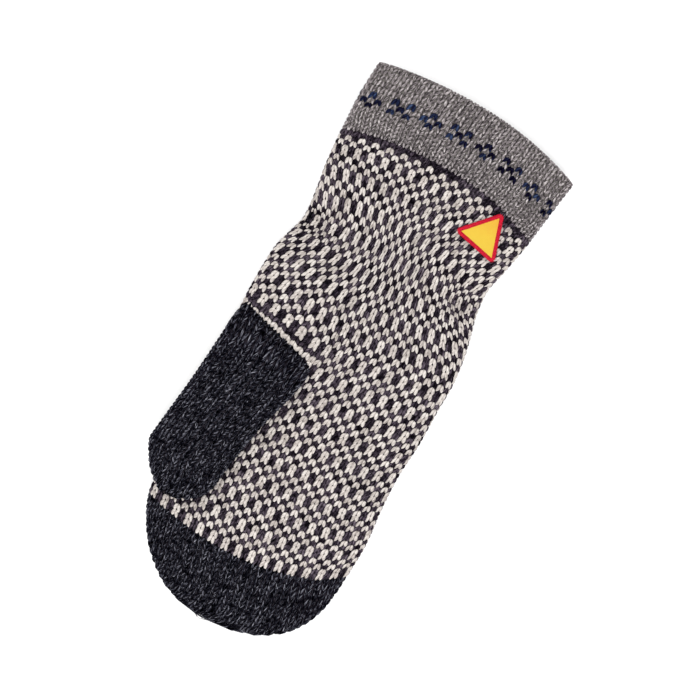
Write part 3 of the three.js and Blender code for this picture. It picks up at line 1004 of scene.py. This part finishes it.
def wool_fibres_group():
    """Twisted plies, strands that run along the yarn, fine fibres, and painted shade for the grooves between
    the plies.
    """
    tree, given, result = new_tree(
        "Wool fibres",
        "ShaderNodeTree",
        [
            ("Strands", FLOAT, 7.0),
            ("Strand length", FLOAT, 1.6),
            ("Fibre scale", FLOAT, 2600.0),
            ("Melange scale", FLOAT, 500.0),
            ("Plies", FLOAT, 2.0),
            ("Twist", FLOAT, 2.0),
        ],
        [
            ("Height", FLOAT),
            ("Strands", FLOAT),
            ("Melange", FLOAT),
            ("Shade", FLOAT),
            ("Ply shade", FLOAT),
        ],
    )
    parts = parts_of(tree, place(tree, "ShaderNodeUVMap", uv_map="grain").outputs[0])
    shade = place(tree, "ShaderNodeAttribute", attribute_name="shade").outputs["Fac"]
    leg = place(tree, "ShaderNodeAttribute", attribute_name="leg").outputs["Fac"]
    twisted = calc(tree, "MULTIPLY", parts["Y"], given["Twist"])
    winding = calc(tree, "MULTIPLY_ADD", parts["X"], given["Plies"], twisted)
    # The plies' ribs: their relief, and painted shade in the grooves between them
    ply = ribs(tree, winding)
    own = calc(tree, "MULTIPLY_ADD", shade, STITCH_PATTERN, calc(tree, "MULTIPLY", leg, LEG_PATTERN))
    turned = calc(tree, "MULTIPLY_ADD", parts["Y"], STRAND_TURN, parts["X"])
    strand_place = vector_of(
        tree,
        X=calc(tree, "MULTIPLY", turned, given["Strands"]),
        Y=calc(tree, "MULTIPLY", parts["Y"], given["Strand length"]),
        Z=own,
    )
    strands = noise(tree, strand_place, 1.0, 2.0, 0.6)
    fibres = noise(tree, object_place(tree), given["Fibre scale"], 3.0, 0.65)
    melange = noise(tree, object_place(tree), given["Melange scale"], 3.0, 0.65)
    loose = calc(tree, "MULTIPLY_ADD", fibres, 0.5, strands)
    height = calc(tree, "MULTIPLY_ADD", ply, 0.5, loose)
    outputs = {"Height": height, "Strands": strands, "Melange": melange, "Shade": shade, "Ply shade": ply}
    for name, value in outputs.items():
        tree.links.new(value, result[name])
    return tree


def ramp(tree, value, stops):
    """A colour ramp. Stops are (place, colour)."""
    made = place(tree, "ShaderNodeValToRGB", {"Fac": value})
    elements = made.color_ramp.elements
    while len(elements) < len(stops):
        elements.new(0.5)
    for element, (at, color) in zip(elements, stops):
        element.position = at
        element.color = (*color, 1)
    return made.outputs["Color"]


def darkened(tree, color, share):
    """A colour multiplied by a share of light."""
    made = place(tree, "ShaderNodeMix", {0: 1.0}, data_type="RGBA", blend_type="MULTIPLY")
    tree.links.new(color, made.inputs[6])
    tree.links.new(share, made.inputs[7])
    return made.outputs[2]


def new_material(name, roughness, sheen, specular):
    material = bpy.data.materials.new(name)
    material.use_nodes = True
    shader = material.node_tree.nodes["Principled BSDF"]
    shader.inputs["Roughness"].default_value = roughness
    shader.inputs["Specular IOR Level"].default_value = specular
    shader.inputs["Sheen Weight"].default_value = sheen
    return material, material.node_tree, shader


def finish_material(tree, shader, color, height, strength, distance):
    """Gives a shader its colour and its relief."""
    tree.links.new(color, shader.inputs["Base Color"])
    inputs = {"Height": height, "Strength": strength, "Distance": distance}
    tree.links.new(place(tree, "ShaderNodeBump", inputs).outputs[0], shader.inputs["Normal"])


def wool(name, fibres, stops, weights, sheen=0.1, specular=0.04):
    """A wool yarn whose colours run through the given stops, by its strands, melange and stitches, darkened
    in the grooves between its plies as painted shade.
    """
    material, tree, shader = new_material(name, 0.95, sheen, specular)
    yarn = place(tree, "ShaderNodeGroup", node_tree=fibres).outputs
    mixed = 0.0
    for output, weight in zip(("Strands", "Melange", "Shade"), weights):
        mixed = calc(tree, "MULTIPLY_ADD", yarn[output], weight, mixed)
    # Painted shade: the colour is darkened in the grooves between the plies
    light = calc(tree, "MULTIPLY_ADD", yarn["Ply shade"], 0.3, 0.7)
    color = darkened(tree, ramp(tree, mixed, stops), light)
    finish_material(tree, shader, color, yarn["Height"], 0.6, 0.0003)
    return material


def ground_wool(name, stops):
    """The wrong side of the knitting: rows of purl bumps and carried strands, darker between the bumps as
    painted shade.
    """
    material, tree, shader = new_material(name, 0.95, 0.0, 0.0)
    parts = parts_of(tree, place(tree, "ShaderNodeUVMap", uv_map="fabric").outputs[0])
    bumps = calc(tree, "MULTIPLY", ribs(tree, parts["Y"]), ribs(tree, parts["X"]))
    fibres = noise(tree, object_place(tree), 1500.0, 3.0)
    height = calc(tree, "MULTIPLY_ADD", fibres, 0.5, bumps)
    # Painted shade: darker where the bumps sink
    color = ramp(tree, calc(tree, "MULTIPLY", height, 0.7), stops)
    finish_material(tree, shader, color, height, 0.6, 0.0008)
    return material


def woven_label():
    """Fine woven threads in warning yellow that turns to orange towards the label's point, with painted
    shade where the weave dips.
    """
    material, tree, shader = new_material("woven_label", 0.7, 0.0, 0.1)
    inputs = {"Vector": object_place(tree), "Angle": LABEL_TURN}
    turned = place(tree, "ShaderNodeVectorRotate", inputs, rotation_type="Z_AXIS").outputs[0]
    parts = parts_of(tree, turned)
    warp, weft = [calc(tree, "SINE", calc(tree, "MULTIPLY", parts[axis], WEAVE_PITCH)) for axis in "XY"]
    weave = calc(tree, "MULTIPLY_ADD", calc(tree, "MULTIPLY", warp, weft), 0.5, 0.5)
    middle = (START_Y + LABEL_ALONG) * MM
    point = place(tree, "ShaderNodeMapRange", {
        "Value": parts["Y"],
        "From Min": middle - LABEL_ORANGE_TO,
        "From Max": middle + LABEL_ORANGE_TO,
    }).outputs[0]
    cloudy = calc(tree, "MULTIPLY", noise(tree, object_place(tree), 700.0, 2.0), 0.2)
    color = ramp(tree, calc(tree, "MULTIPLY_ADD", point, 0.8, cloudy), [
        (0.15, (0.58, 0.31, 0.034)),
        (0.4, (0.58, 0.385, 0.04)),
        (0.7, (0.57, 0.4, 0.045)),
    ])
    # Painted shade: the threads are darkened where the weave dips
    color = darkened(tree, color, calc(tree, "MULTIPLY_ADD", weave, 0.22, 0.78))
    finish_material(tree, shader, color, weave, 0.5, 0.0002)
    return material


def edge_thread():
    """Shiny red overlock thread."""
    material, tree, shader = new_material("red_edge_thread", 0.6, 0.0, 0.1)
    fibres = noise(tree, object_place(tree), 1800.0, 2.0)
    color = ramp(tree, fibres, [(0.3, (0.25, 0.003, 0.012)), (0.7, (0.54, 0.009, 0.032))])
    finish_material(tree, shader, color, fibres, 0.4, 0.0001)
    return material


# Charts: which stitches a yarn makes


def grid_of(columns, rows):
    """All the stitches of some columns and rows, as (column's middle, row)."""
    column, row = np.meshgrid(np.asarray(columns) + 0.5, np.asarray(rows, float))
    return np.column_stack((column.ravel(), row.ravel()))


def is_cream(column, row):
    """The hand's pattern: single and double light stitches in turn, over 8 rows and 2 columns."""
    even = np.floor(column).astype(int) % 2 == 0
    step = (row.astype(int) - CUFF_ROWS - 1) % 8
    on_even = np.isin(step, (0, 2, 3, 5))
    cream = np.where(even, on_even, ~on_even) & (row.astype(int) > CUFF_ROWS)
    first, last = THUMB_LINE_COLUMNS
    over_thumb = (column > first) & (column < last)
    from_line = row.astype(int) - CUFF_ROWS - THUMB_LINE_ROW
    return (cream & ~(over_thumb & (from_line == -1))) | (over_thumb & (from_line == 0))


def is_blue(column, row):
    """The cuff's band of little rings and crosses."""
    column = (np.floor(column).astype(int) - FIGURE_SHIFT) % len(FIGURES[0])
    step = row.astype(int) - FIGURE_ROW
    blue = np.zeros(len(column), bool)
    for index, line in enumerate(FIGURES):
        marked = [place for place, mark in enumerate(line) if mark == "B"]
        blue |= (step == index) & np.isin(column, marked)
    return blue


# Walls behind the stitches


def wall(name, rows, columns, outer, inner, material, keep=None):
    """A closed wall between two grids of points. Cells that keep leaves out become holes."""
    count_rows, count_columns = outer.shape[:2]
    if keep is None:
        keep = np.ones((count_rows - 1, count_columns), bool)
    total = count_rows * count_columns
    faces = []

    def at(i, j):
        return i * count_columns + j % count_columns

    for i, j in zip(*np.nonzero(keep)):
        a, b, c, d = at(i, j), at(i, j + 1), at(i + 1, j + 1), at(i + 1, j)
        faces.append((a, b, c, d))
        faces.append((a + total, d + total, c + total, b + total))
        sides = ((i - 1, j, a, b), (i + 1, j, c, d), (i, j - 1, d, a), (i, j + 1, b, c))
        for row, column, first, second in sides:
            inside = 0 <= row < count_rows - 1
            if not inside or not keep[row, column % count_columns]:
                faces.append((second, first, first + total, second + total))
    points = np.concatenate((outer.reshape(-1, 3), inner.reshape(-1, 3)))
    used = np.unique(np.array(faces))
    index = np.full(2 * total, -1)
    index[used] = np.arange(len(used))
    faces = index[np.array(faces)]
    corners = points[used][faces]
    volume = np.einsum("ij,ij->i", corners[:, 0], np.cross(corners[:, 1], corners[:, 2])).sum()
    volume += np.einsum("ij,ij->i", corners[:, 0], np.cross(corners[:, 2], corners[:, 3])).sum()
    if volume < 0:
        faces = faces[:, ::-1]
    piece = soft_piece(name, points[used], faces.tolist(), material)
    grid = np.stack(np.meshgrid(columns, rows), axis=-1).reshape(-1, 2)
    add_uv(piece.data, "fabric", np.concatenate((grid, grid))[used])
    return piece


def closed_form(points):
    """A tree for asking whether a place is inside a closed grid of rings."""
    count_rows, count = points.shape[:2]
    flat = [tuple(p) for p in points.reshape(-1, 3)]
    faces = []
    for i in range(count_rows - 1):
        for j in range(count):
            a, b = i * count + j, i * count + (j + 1) % count
            faces.append((a, b, b + count, a + count))
    faces.append(tuple(range(count)))
    faces.append(tuple((count_rows - 1) * count + j for j in range(count)))
    return BVHTree.FromPolygons(flat, faces)


def is_inside(form, points):
    """Whether places are inside a closed form, by counting the walls above them."""
    up = Vector(LOOK_UP).normalized()
    found = []
    for point in points:
        start, hits = Vector(point), 0
        while True:
            place_hit, _, _, _ = form.ray_cast(start, up)
            if place_hit is None:
                break
            hits += 1
            start = place_hit + up * LOOK_STEP
        found.append(hits % 2 == 1)
    return np.array(found, bool)


def thumb_hollow_form():
    angles = np.linspace(0, FULL_TURN, HOLLOW_AROUND, endpoint=False)
    along = np.linspace(THUMB[0, 0], HOLLOW_SHARE * THUMB_LENGTH, HOLLOW_RINGS)
    return closed_form(thumb_point(along[:, None], angles[None, :], -THUMB_WALL))


# Materials

wool_fibres = wool_fibres_group()
cream_wool = wool("cream_wool", wool_fibres, [
    (0.3, (0.17, 0.146, 0.134)),
    (0.42, (0.37, 0.328, 0.304)),
    (0.56, (0.54, 0.495, 0.462)),
    (0.72, (0.66, 0.625, 0.59)),
], (0.6, 0.3, 0.12))
charcoal_wool = wool("charcoal_wool", wool_fibres, [
    (0.36, (0, 0, 0)),
    (0.46, (0.007, 0.005, 0.008)),
    (0.55, (0.034, 0.026, 0.036)),
    (0.64, (0.1, 0.08, 0.1)),
    (0.78, (0.2, 0.17, 0.19)),
], (0.65, 0.3, 0.1), sheen=0.0, specular=0.0)
black_wool = wool("black_melange_wool", wool_fibres, [
    (0.44, (0, 0, 0)),
    (0.51, (0.003, 0.003, 0.006)),
    (0.57, (0.03, 0.03, 0.042)),
    (0.64, (0.14, 0.14, 0.165)),
    (0.76, (0.34, 0.34, 0.38)),
], (0.8, 0.2, 0.04), sheen=0.0, specular=0.0)
grey_wool = wool("grey_melange_wool", wool_fibres, [
    (0.38, (0.018, 0.015, 0.017)),
    (0.47, (0.09, 0.077, 0.08)),
    (0.55, (0.26, 0.228, 0.235)),
    (0.68, (0.58, 0.535, 0.535)),
], (0.75, 0.25, 0.03), sheen=0.05)
blue_wool = wool("blue_wool", wool_fibres, [
    (0.36, (0.0008, 0.0006, 0.003)),
    (0.47, (0.005, 0.004, 0.014)),
    (0.57, (0.013, 0.02, 0.05)),
    (0.72, (0.055, 0.085, 0.17)),
], (0.6, 0.25, 0.15), sheen=0.0, specular=0.0)
# The walls behind the stitches are much darker than their yarns: painted shade for what shows in the gaps
# between the stitches
dark_ground_shade = ground_wool("dark_ground_shade", [
    (0.2, (0.0008, 0.0008, 0.0016)),
    (0.9, (0.016, 0.0136, 0.0176)),
])
grey_ground_shade = ground_wool("grey_ground_shade", [
    (0.2, (0.024, 0.0224, 0.0216)),
    (0.9, (0.112, 0.104, 0.096)),
])

# The stitches

stitch_tree = stitches_group(lay_on_fabric_group())
pieces = []


def add_knitting(name, node, slot, chart, sheet, material, yarn):
    """A piece of knitting: one stitch for each (column, row) of a chart."""
    points = np.column_stack((chart, np.zeros(len(chart))))
    source = mesh_object(name + "_points", points / MM)
    values = {
        "Sheet": sheet,
        "First": sheet["first"],
        "Count": sheet["count"],
        "Material": material,
        "Seed": SEED + len(pieces),
    }
    piece = made_by_nodes(name, source, stitch_tree, {**values, **yarn})
    pieces.append((piece, node, slot))


def steps_along(*stretches):
    """Places along stretches that follow each other, each (first, last, step)."""
    return np.concatenate([np.arange(*stretch) for stretch in stretches])


def new_tube_sheet():
    """The sheet of the cuff and hand, finer where the mouth's hem folds over."""
    fold = 2
    rows = steps_along(
        (-INNER_ROWS - 1, -fold, SKIN_STEP),
        (-fold, fold, FOLD_STEP),
        (fold, BODY_END + SHEET_SPARE - HALF_STEP, SKIN_STEP),
    )
    columns = np.arange(-SHEET_SPARE, COLUMNS + SHEET_SPARE + HALF_STEP, SKIN_STEP)
    return fabric_sheet("tube_sheet", tube_skin(rows, columns), rows, columns)


def places_of(chart):
    """Where the middles of a chart's stitches lie, for leaving out those inside the thumb's opening."""
    rows, row_index = np.unique(chart[:, 1], return_inverse=True)
    columns, column_index = np.unique(chart[:, 0], return_inverse=True)
    return tube_skin(rows + STITCH_MIDDLE, columns, -1.0)[row_index, column_index]


def add_hand_stitches(sheet, thumb_hollow):
    rows = np.arange(CUFF_ROWS, BODY_END)
    sides = (("palm", np.arange(HALF_COLUMNS)), ("back", np.arange(HALF_COLUMNS, COLUMNS)))
    for side, columns in sides:
        chart = grid_of(columns, rows)
        if side == "palm":
            chart = chart[~is_inside(thumb_hollow, places_of(chart))]
        cream = is_cream(chart[:, 0], chart[:, 1])
        for yarn, mask, material, sizes in (
            ("cream", cream, cream_wool, CREAM_YARN),
            ("charcoal", ~cream, charcoal_wool, {}),
        ):
            name = f"{side}_{yarn}_stitches"
            add_knitting(name, "hand", "hand_knit", chart[mask], sheet, material, sizes)


def add_cuff_stitches(sheet):
    columns = np.arange(COLUMNS)
    outside = grid_of(columns, np.arange(0, CUFF_ROWS))
    inside = grid_of(columns, np.arange(-INNER_ROWS, 0))
    blue = is_blue(outside[:, 0], outside[:, 1])
    for name, chart, material, yarn in (
        ("cuff_grey_stitches", outside[~blue], grey_wool, CUFF_YARN),
        ("cuff_blue_stitches", outside[blue], blue_wool, FIGURE_YARN),
        ("hem_inner_stitches", inside, grey_wool, CUFF_YARN),
    ):
        add_knitting(name, "cuff", "cuff_knit", chart, sheet, material, yarn)


def end_rows(first, last):
    """The rows of a closed end's sheet, closer together next to its tip."""
    near_tip = last - TIP_ROWS
    plain = np.arange(first, near_tip, SKIN_STEP)
    return np.concatenate((plain, np.linspace(near_tip, last, TIP_STEPS)))


def face_columns(reach):
    """The columns of a face's sheet, one more each way than its stitches have."""
    return np.arange(-reach - 1, reach + 1 + HALF_STEP, SKIN_STEP)


def face_chart(reach, first, last, rows, edges, margin):
    """A face's stitches, but for those past its edges."""
    chart = grid_of(np.arange(-reach, reach), np.arange(first, last - STITCH_MIDDLE))
    low, high = [np.interp(chart[:, 1] + STITCH_MIDDLE, rows, edge) for edge in edges.T]
    return chart[(chart[:, 0] > low + margin) & (chart[:, 0] < high - margin)]


def cap_along(rows):
    return np.minimum(along_at(rows), TOTAL_LENGTH - TIP_GAP)


def thumb_along(rows):
    return np.minimum(rows * THUMB_LENGTH / THUMB_ROWS, THUMB_LENGTH - TIP_GAP)


def add_cap_stitches():
    last = BODY_END + CAP_ROWS
    rows = end_rows(BODY_END - 1, last)
    along = cap_along(rows)
    columns = face_columns(CAP_REACH)
    for face, top, middle in (("upper", True, COLUMNS // 4), ("lower", False, 3 * COLUMNS // 4)):
        skin, edges = face_skin(tube_point, rows, along, columns, top, CAP_START, HALF_COLUMNS)
        skin = waved(skin, rows, columns + middle)
        sheet = fabric_sheet(f"cap_{face}_sheet", skin, rows, columns)
        chart = face_chart(CAP_REACH, BODY_END, last, rows, edges, CAP_MARGIN)
        name = f"cap_{face}_stitches"
        add_knitting(name, "fingertip_cap", "charcoal_knit", chart, sheet, black_wool, PLAIN_YARN)
        bpy.data.objects.remove(sheet)


def add_thumb_stitches():
    """The thumb's stitches, but for those of its root that lie under the palm's face."""
    rows = end_rows(-SKIN_STEP, THUMB_ROWS)
    along = thumb_along(rows)
    columns = face_columns(THUMB_REACH)
    half = THUMB_COLUMNS // 2
    for face, top in (("upper", True), ("lower", False)):
        skin, edges = face_skin(thumb_point, rows, along, columns, top, THUMB_TIP_START, half)
        sheet = fabric_sheet(f"thumb_{face}_sheet", skin, rows, columns)
        chart = face_chart(THUMB_REACH, THUMB_FIRST, THUMB_ROWS, rows, edges, THUMB_MARGIN)
        row = np.searchsorted(rows, chart[:, 1] + STITCH_MIDDLE)
        column = np.searchsorted(columns, chart[:, 0])
        where = skin[np.minimum(row, len(rows) - 1), column]
        chart = chart[where[:, 2] > face_level(where[:, 0], where[:, 1]) - THUMB_SUNK]
        name = f"thumb_{face}_stitches"
        add_knitting(name, "thumb", "charcoal_knit", chart, sheet, black_wool, PLAIN_YARN)
        bpy.data.objects.remove(sheet)


tube_sheet = new_tube_sheet()
thumb_hollow = thumb_hollow_form()
add_hand_stitches(tube_sheet, thumb_hollow)
add_cuff_stitches(tube_sheet)
add_cap_stitches()
add_thumb_stitches()
bpy.data.objects.remove(tube_sheet)

# The wrong side of the knitting, dark as painted shade where it shows between the stitches

ground_columns = np.arange(0, COLUMNS, SKIN_STEP)


def add_hand_ground(thumb_hollow):
    """The hand's wall, open into the thumb."""
    rows = np.arange(CUFF_ROWS + GROUND_START, BODY_END + GROUND_START, SKIN_STEP)
    middle = tube_skin(rows, ground_columns, -0.5 * (GROUND_DEPTH + BODY_WALL))
    beside = np.roll(middle, -1, 1)
    cells = 0.25 * (middle[:-1] + middle[1:] + beside[:-1] + beside[1:])
    hole = is_inside(thumb_hollow, cells.reshape(-1, 3)).reshape(cells.shape[:2])
    outer, inner = [tube_skin(rows, ground_columns, -depth) for depth in (GROUND_DEPTH, BODY_WALL)]
    piece = wall("hand_ground", rows, ground_columns, outer, inner, dark_ground_shade, ~hole)
    pieces.append((piece, "hand", "hand_knit"))


def add_cuff_ground():
    """The cuff's wall, folded over at the mouth."""
    rows = steps_along(
        (-CUFF_ROWS + GROUND_START, -1, SKIN_STEP),
        (-1, 1, FOLD_STEP),
        (1, CUFF_ROWS, SKIN_STEP),
    )
    outer, inner = [plain_skin(rows, ground_columns, inset) for inset in (GROUND_DEPTH, HEM_GROUND_INSET)]
    piece = wall("cuff_ground", rows, ground_columns, outer, inner, grey_ground_shade)
    pieces.append((piece, "cuff", "cuff_knit"))


def add_closed_ground(name, node, point, rows, along, wall_depth, around):
    """A closed end's wall: a tube of rings that ends in a small ring at its tip."""
    angles = np.linspace(0, FULL_TURN, around, endpoint=False)
    outer, inner = [point(along[:, None], angles[None, :], -depth) for depth in (GROUND_DEPTH, wall_depth)]
    columns = np.linspace(0, COLUMNS, around, endpoint=False)
    piece = wall(name, rows, columns, outer, inner, dark_ground_shade)
    pieces.append((piece, node, "charcoal_knit"))


def slowing(count):
    """Shares from 0 to 1 that lie closer and closer together, for the rings of a round end."""
    return np.sin(np.linspace(0, QUARTER_TURN, count))


def add_cap_ground():
    rows = BODY_END + GROUND_START + CAP_ROWS * CAP_GROUND_SHARE * slowing(CAP_GROUND_RINGS)
    name, node = "cap_ground", "fingertip_cap"
    add_closed_ground(name, node, tube_point, rows, cap_along(rows), CAP_WALL, CAP_GROUND_AROUND)


def add_thumb_ground():
    tip_rows = THUMB_ROWS - GROUND_START - THUMB_EVEN_ROWS
    rows = np.concatenate((
        np.arange(THUMB_FIRST, THUMB_EVEN_ROWS, SKIN_STEP),
        THUMB_EVEN_ROWS + tip_rows * slowing(THUMB_GROUND_RINGS),
    ))
    name, node = "thumb_ground", "thumb"
    add_closed_ground(name, node, thumb_point, rows, thumb_along(rows), THUMB_WALL, THUMB_GROUND_AROUND)


add_hand_ground(thumb_hollow)
add_cuff_ground()
add_cap_ground()
add_thumb_ground()

# The label


def label_outline(inset, step):
    """Even places along the label's outline, moved in by an inset, as x and y from its middle."""
    reach = LABEL_SIDE / math.sqrt(3) - 2 * LABEL_ROUND
    corners = []
    for corner in range(3):
        heading = -QUARTER_TURN - LABEL_TURN + corner * FULL_TURN / 3
        angles = heading + np.linspace(-0.5, 0.5, LABEL_CORNER_STEPS + 1) * FULL_TURN / 3
        middle = reach * np.array((math.cos(heading), math.sin(heading)))
        corners.append(middle + (LABEL_ROUND - inset) * np.column_stack((np.cos(angles), np.sin(angles))))
    line = np.concatenate(corners + [corners[0][:1]])
    walked = np.concatenate(([0], np.cumsum(np.linalg.norm(np.diff(line, axis=0), axis=1))))
    places = np.linspace(0, walked[-1], int(walked[-1] / step), endpoint=False)
    return np.column_stack([np.interp(places, walked, line[:, axis]) for axis in (0, 1)])


def draped(points, level):
    """Places round the label's middle, laid over the palm at a level above the label's underside."""
    x = LABEL_ACROSS + points[:, 0]
    y = START_Y + LABEL_ALONG + points[:, 1]
    return np.column_stack((x, y, face_level(x, y) + LABEL_CLEARANCE + level))


def label_field(material):
    """A thin closed slab: rings of the outline that shrink to its middle, once for each face."""
    outline = label_outline(FIELD_INSET, LABEL_STEP)
    count = len(outline)
    shares = np.arange(LABEL_RINGS, 0, -1) / LABEL_RINGS
    points = []
    for level in (FIELD_LEVEL, 0.0):
        points += [draped(outline * share, level) for share in shares]
        points.append(draped(np.zeros((1, 2)), level))
    face = LABEL_RINGS * count + 1
    inmost = (LABEL_RINGS - 1) * count
    faces = []
    for i in range(count):
        after = (i + 1) % count
        for ring in range(LABEL_RINGS - 1):
            a, b = ring * count + i, ring * count + after
            faces.append((a, b, b + count, a + count))
            faces.append((face + a, face + a + count, face + b + count, face + b))
        a, b = inmost + i, inmost + after
        faces.append((a, b, face - 1))
        faces.append((face + a, 2 * face - 1, face + b))
        faces.append((i, face + i, face + after, after))
    return soft_piece("label_field", np.concatenate(points), faces, material)


def label_border(material):
    line = draped(label_outline(EDGE_INSET, LABEL_STEP), EDGE_LEVEL)
    around = [(i, (i + 1) % len(line)) for i in range(len(line))]
    source = mesh_object("label_border_line", line, edges=around)
    return made_by_nodes("label_border", source, merrowed_edge_group(), {"Material": material})


pieces.append((label_field(woven_label()), "label", "label_weave"))
pieces.append((label_border(edge_thread()), "label", "label_weave"))

for piece, node, slot in pieces:
    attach(piece, "root")
    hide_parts(node)

# The table, the light and the camera

TABLE_REACH = 4000
WORLD_STRENGTH = 0.95
VIEW_WIDTH = 0.3255
VIEW_MIDDLE = (-0.00384, -0.00714)
VIEW_TURN = math.radians(211)
VIEW_LEVEL = 0.02
LENS = 200.0
SENSOR = 36.0


def add_stage():
    material, tree, shader = new_material("pale_table", 0.8, 0.0, 0.3)
    grain = noise(tree, object_place(tree), 40.0, 4.0)
    color = ramp(tree, grain, [(0.3, (0.93, 0.93, 0.93)), (0.7, (0.96, 0.96, 0.96))])
    tree.links.new(color, shader.inputs["Base Color"])
    ways = ((-1, -1), (1, -1), (1, 1), (-1, 1))
    corners = [(x * TABLE_REACH, y * TABLE_REACH, 0) for x, y in ways]
    table = mesh_object("pale_table", corners, [(0, 1, 2, 3)])
    table.data.materials.append(material)


def add_light(name, place_at, size, power):
    light = bpy.data.lights.new(name, "AREA")
    light.size = size
    light.energy = power
    lamp = new_object(name, light)
    lamp.location = place_at
    lamp.rotation_euler = (-Vector(place_at)).to_track_quat("-Z", "Y").to_euler()


def add_world():
    world = bpy.data.worlds.new("studio")
    world.use_nodes = True
    background = world.node_tree.nodes["Background"]
    background.inputs["Color"].default_value = (1, 1, 1, 1)
    background.inputs["Strength"].default_value = WORLD_STRENGTH
    bpy.context.scene.world = world
    bpy.context.scene.view_settings.view_transform = "Standard"


def add_camera():
    """Straight above, turned so that the mitten lies slanted, fingertips down and to the left."""
    data = bpy.data.cameras.new("camera")
    data.lens = LENS
    data.sensor_width = SENSOR
    data.clip_end = 20.0
    camera = new_object("camera", data)
    camera.location = (*VIEW_MIDDLE, VIEW_WIDTH * LENS / SENSOR + VIEW_LEVEL)
    camera.rotation_euler = (0, 0, VIEW_TURN)
    bpy.context.scene.camera = camera


add_stage()
add_light("key_light", (-0.5, 0.9, 1.6), 1.0, 20.0)
add_light("fill_light", (0.9, -0.5, 1.8), 1.6, 14.0)
add_light("top_light", (0.0, 0.0, 2.4), 2.0, 20.0)
add_world()
add_camera()
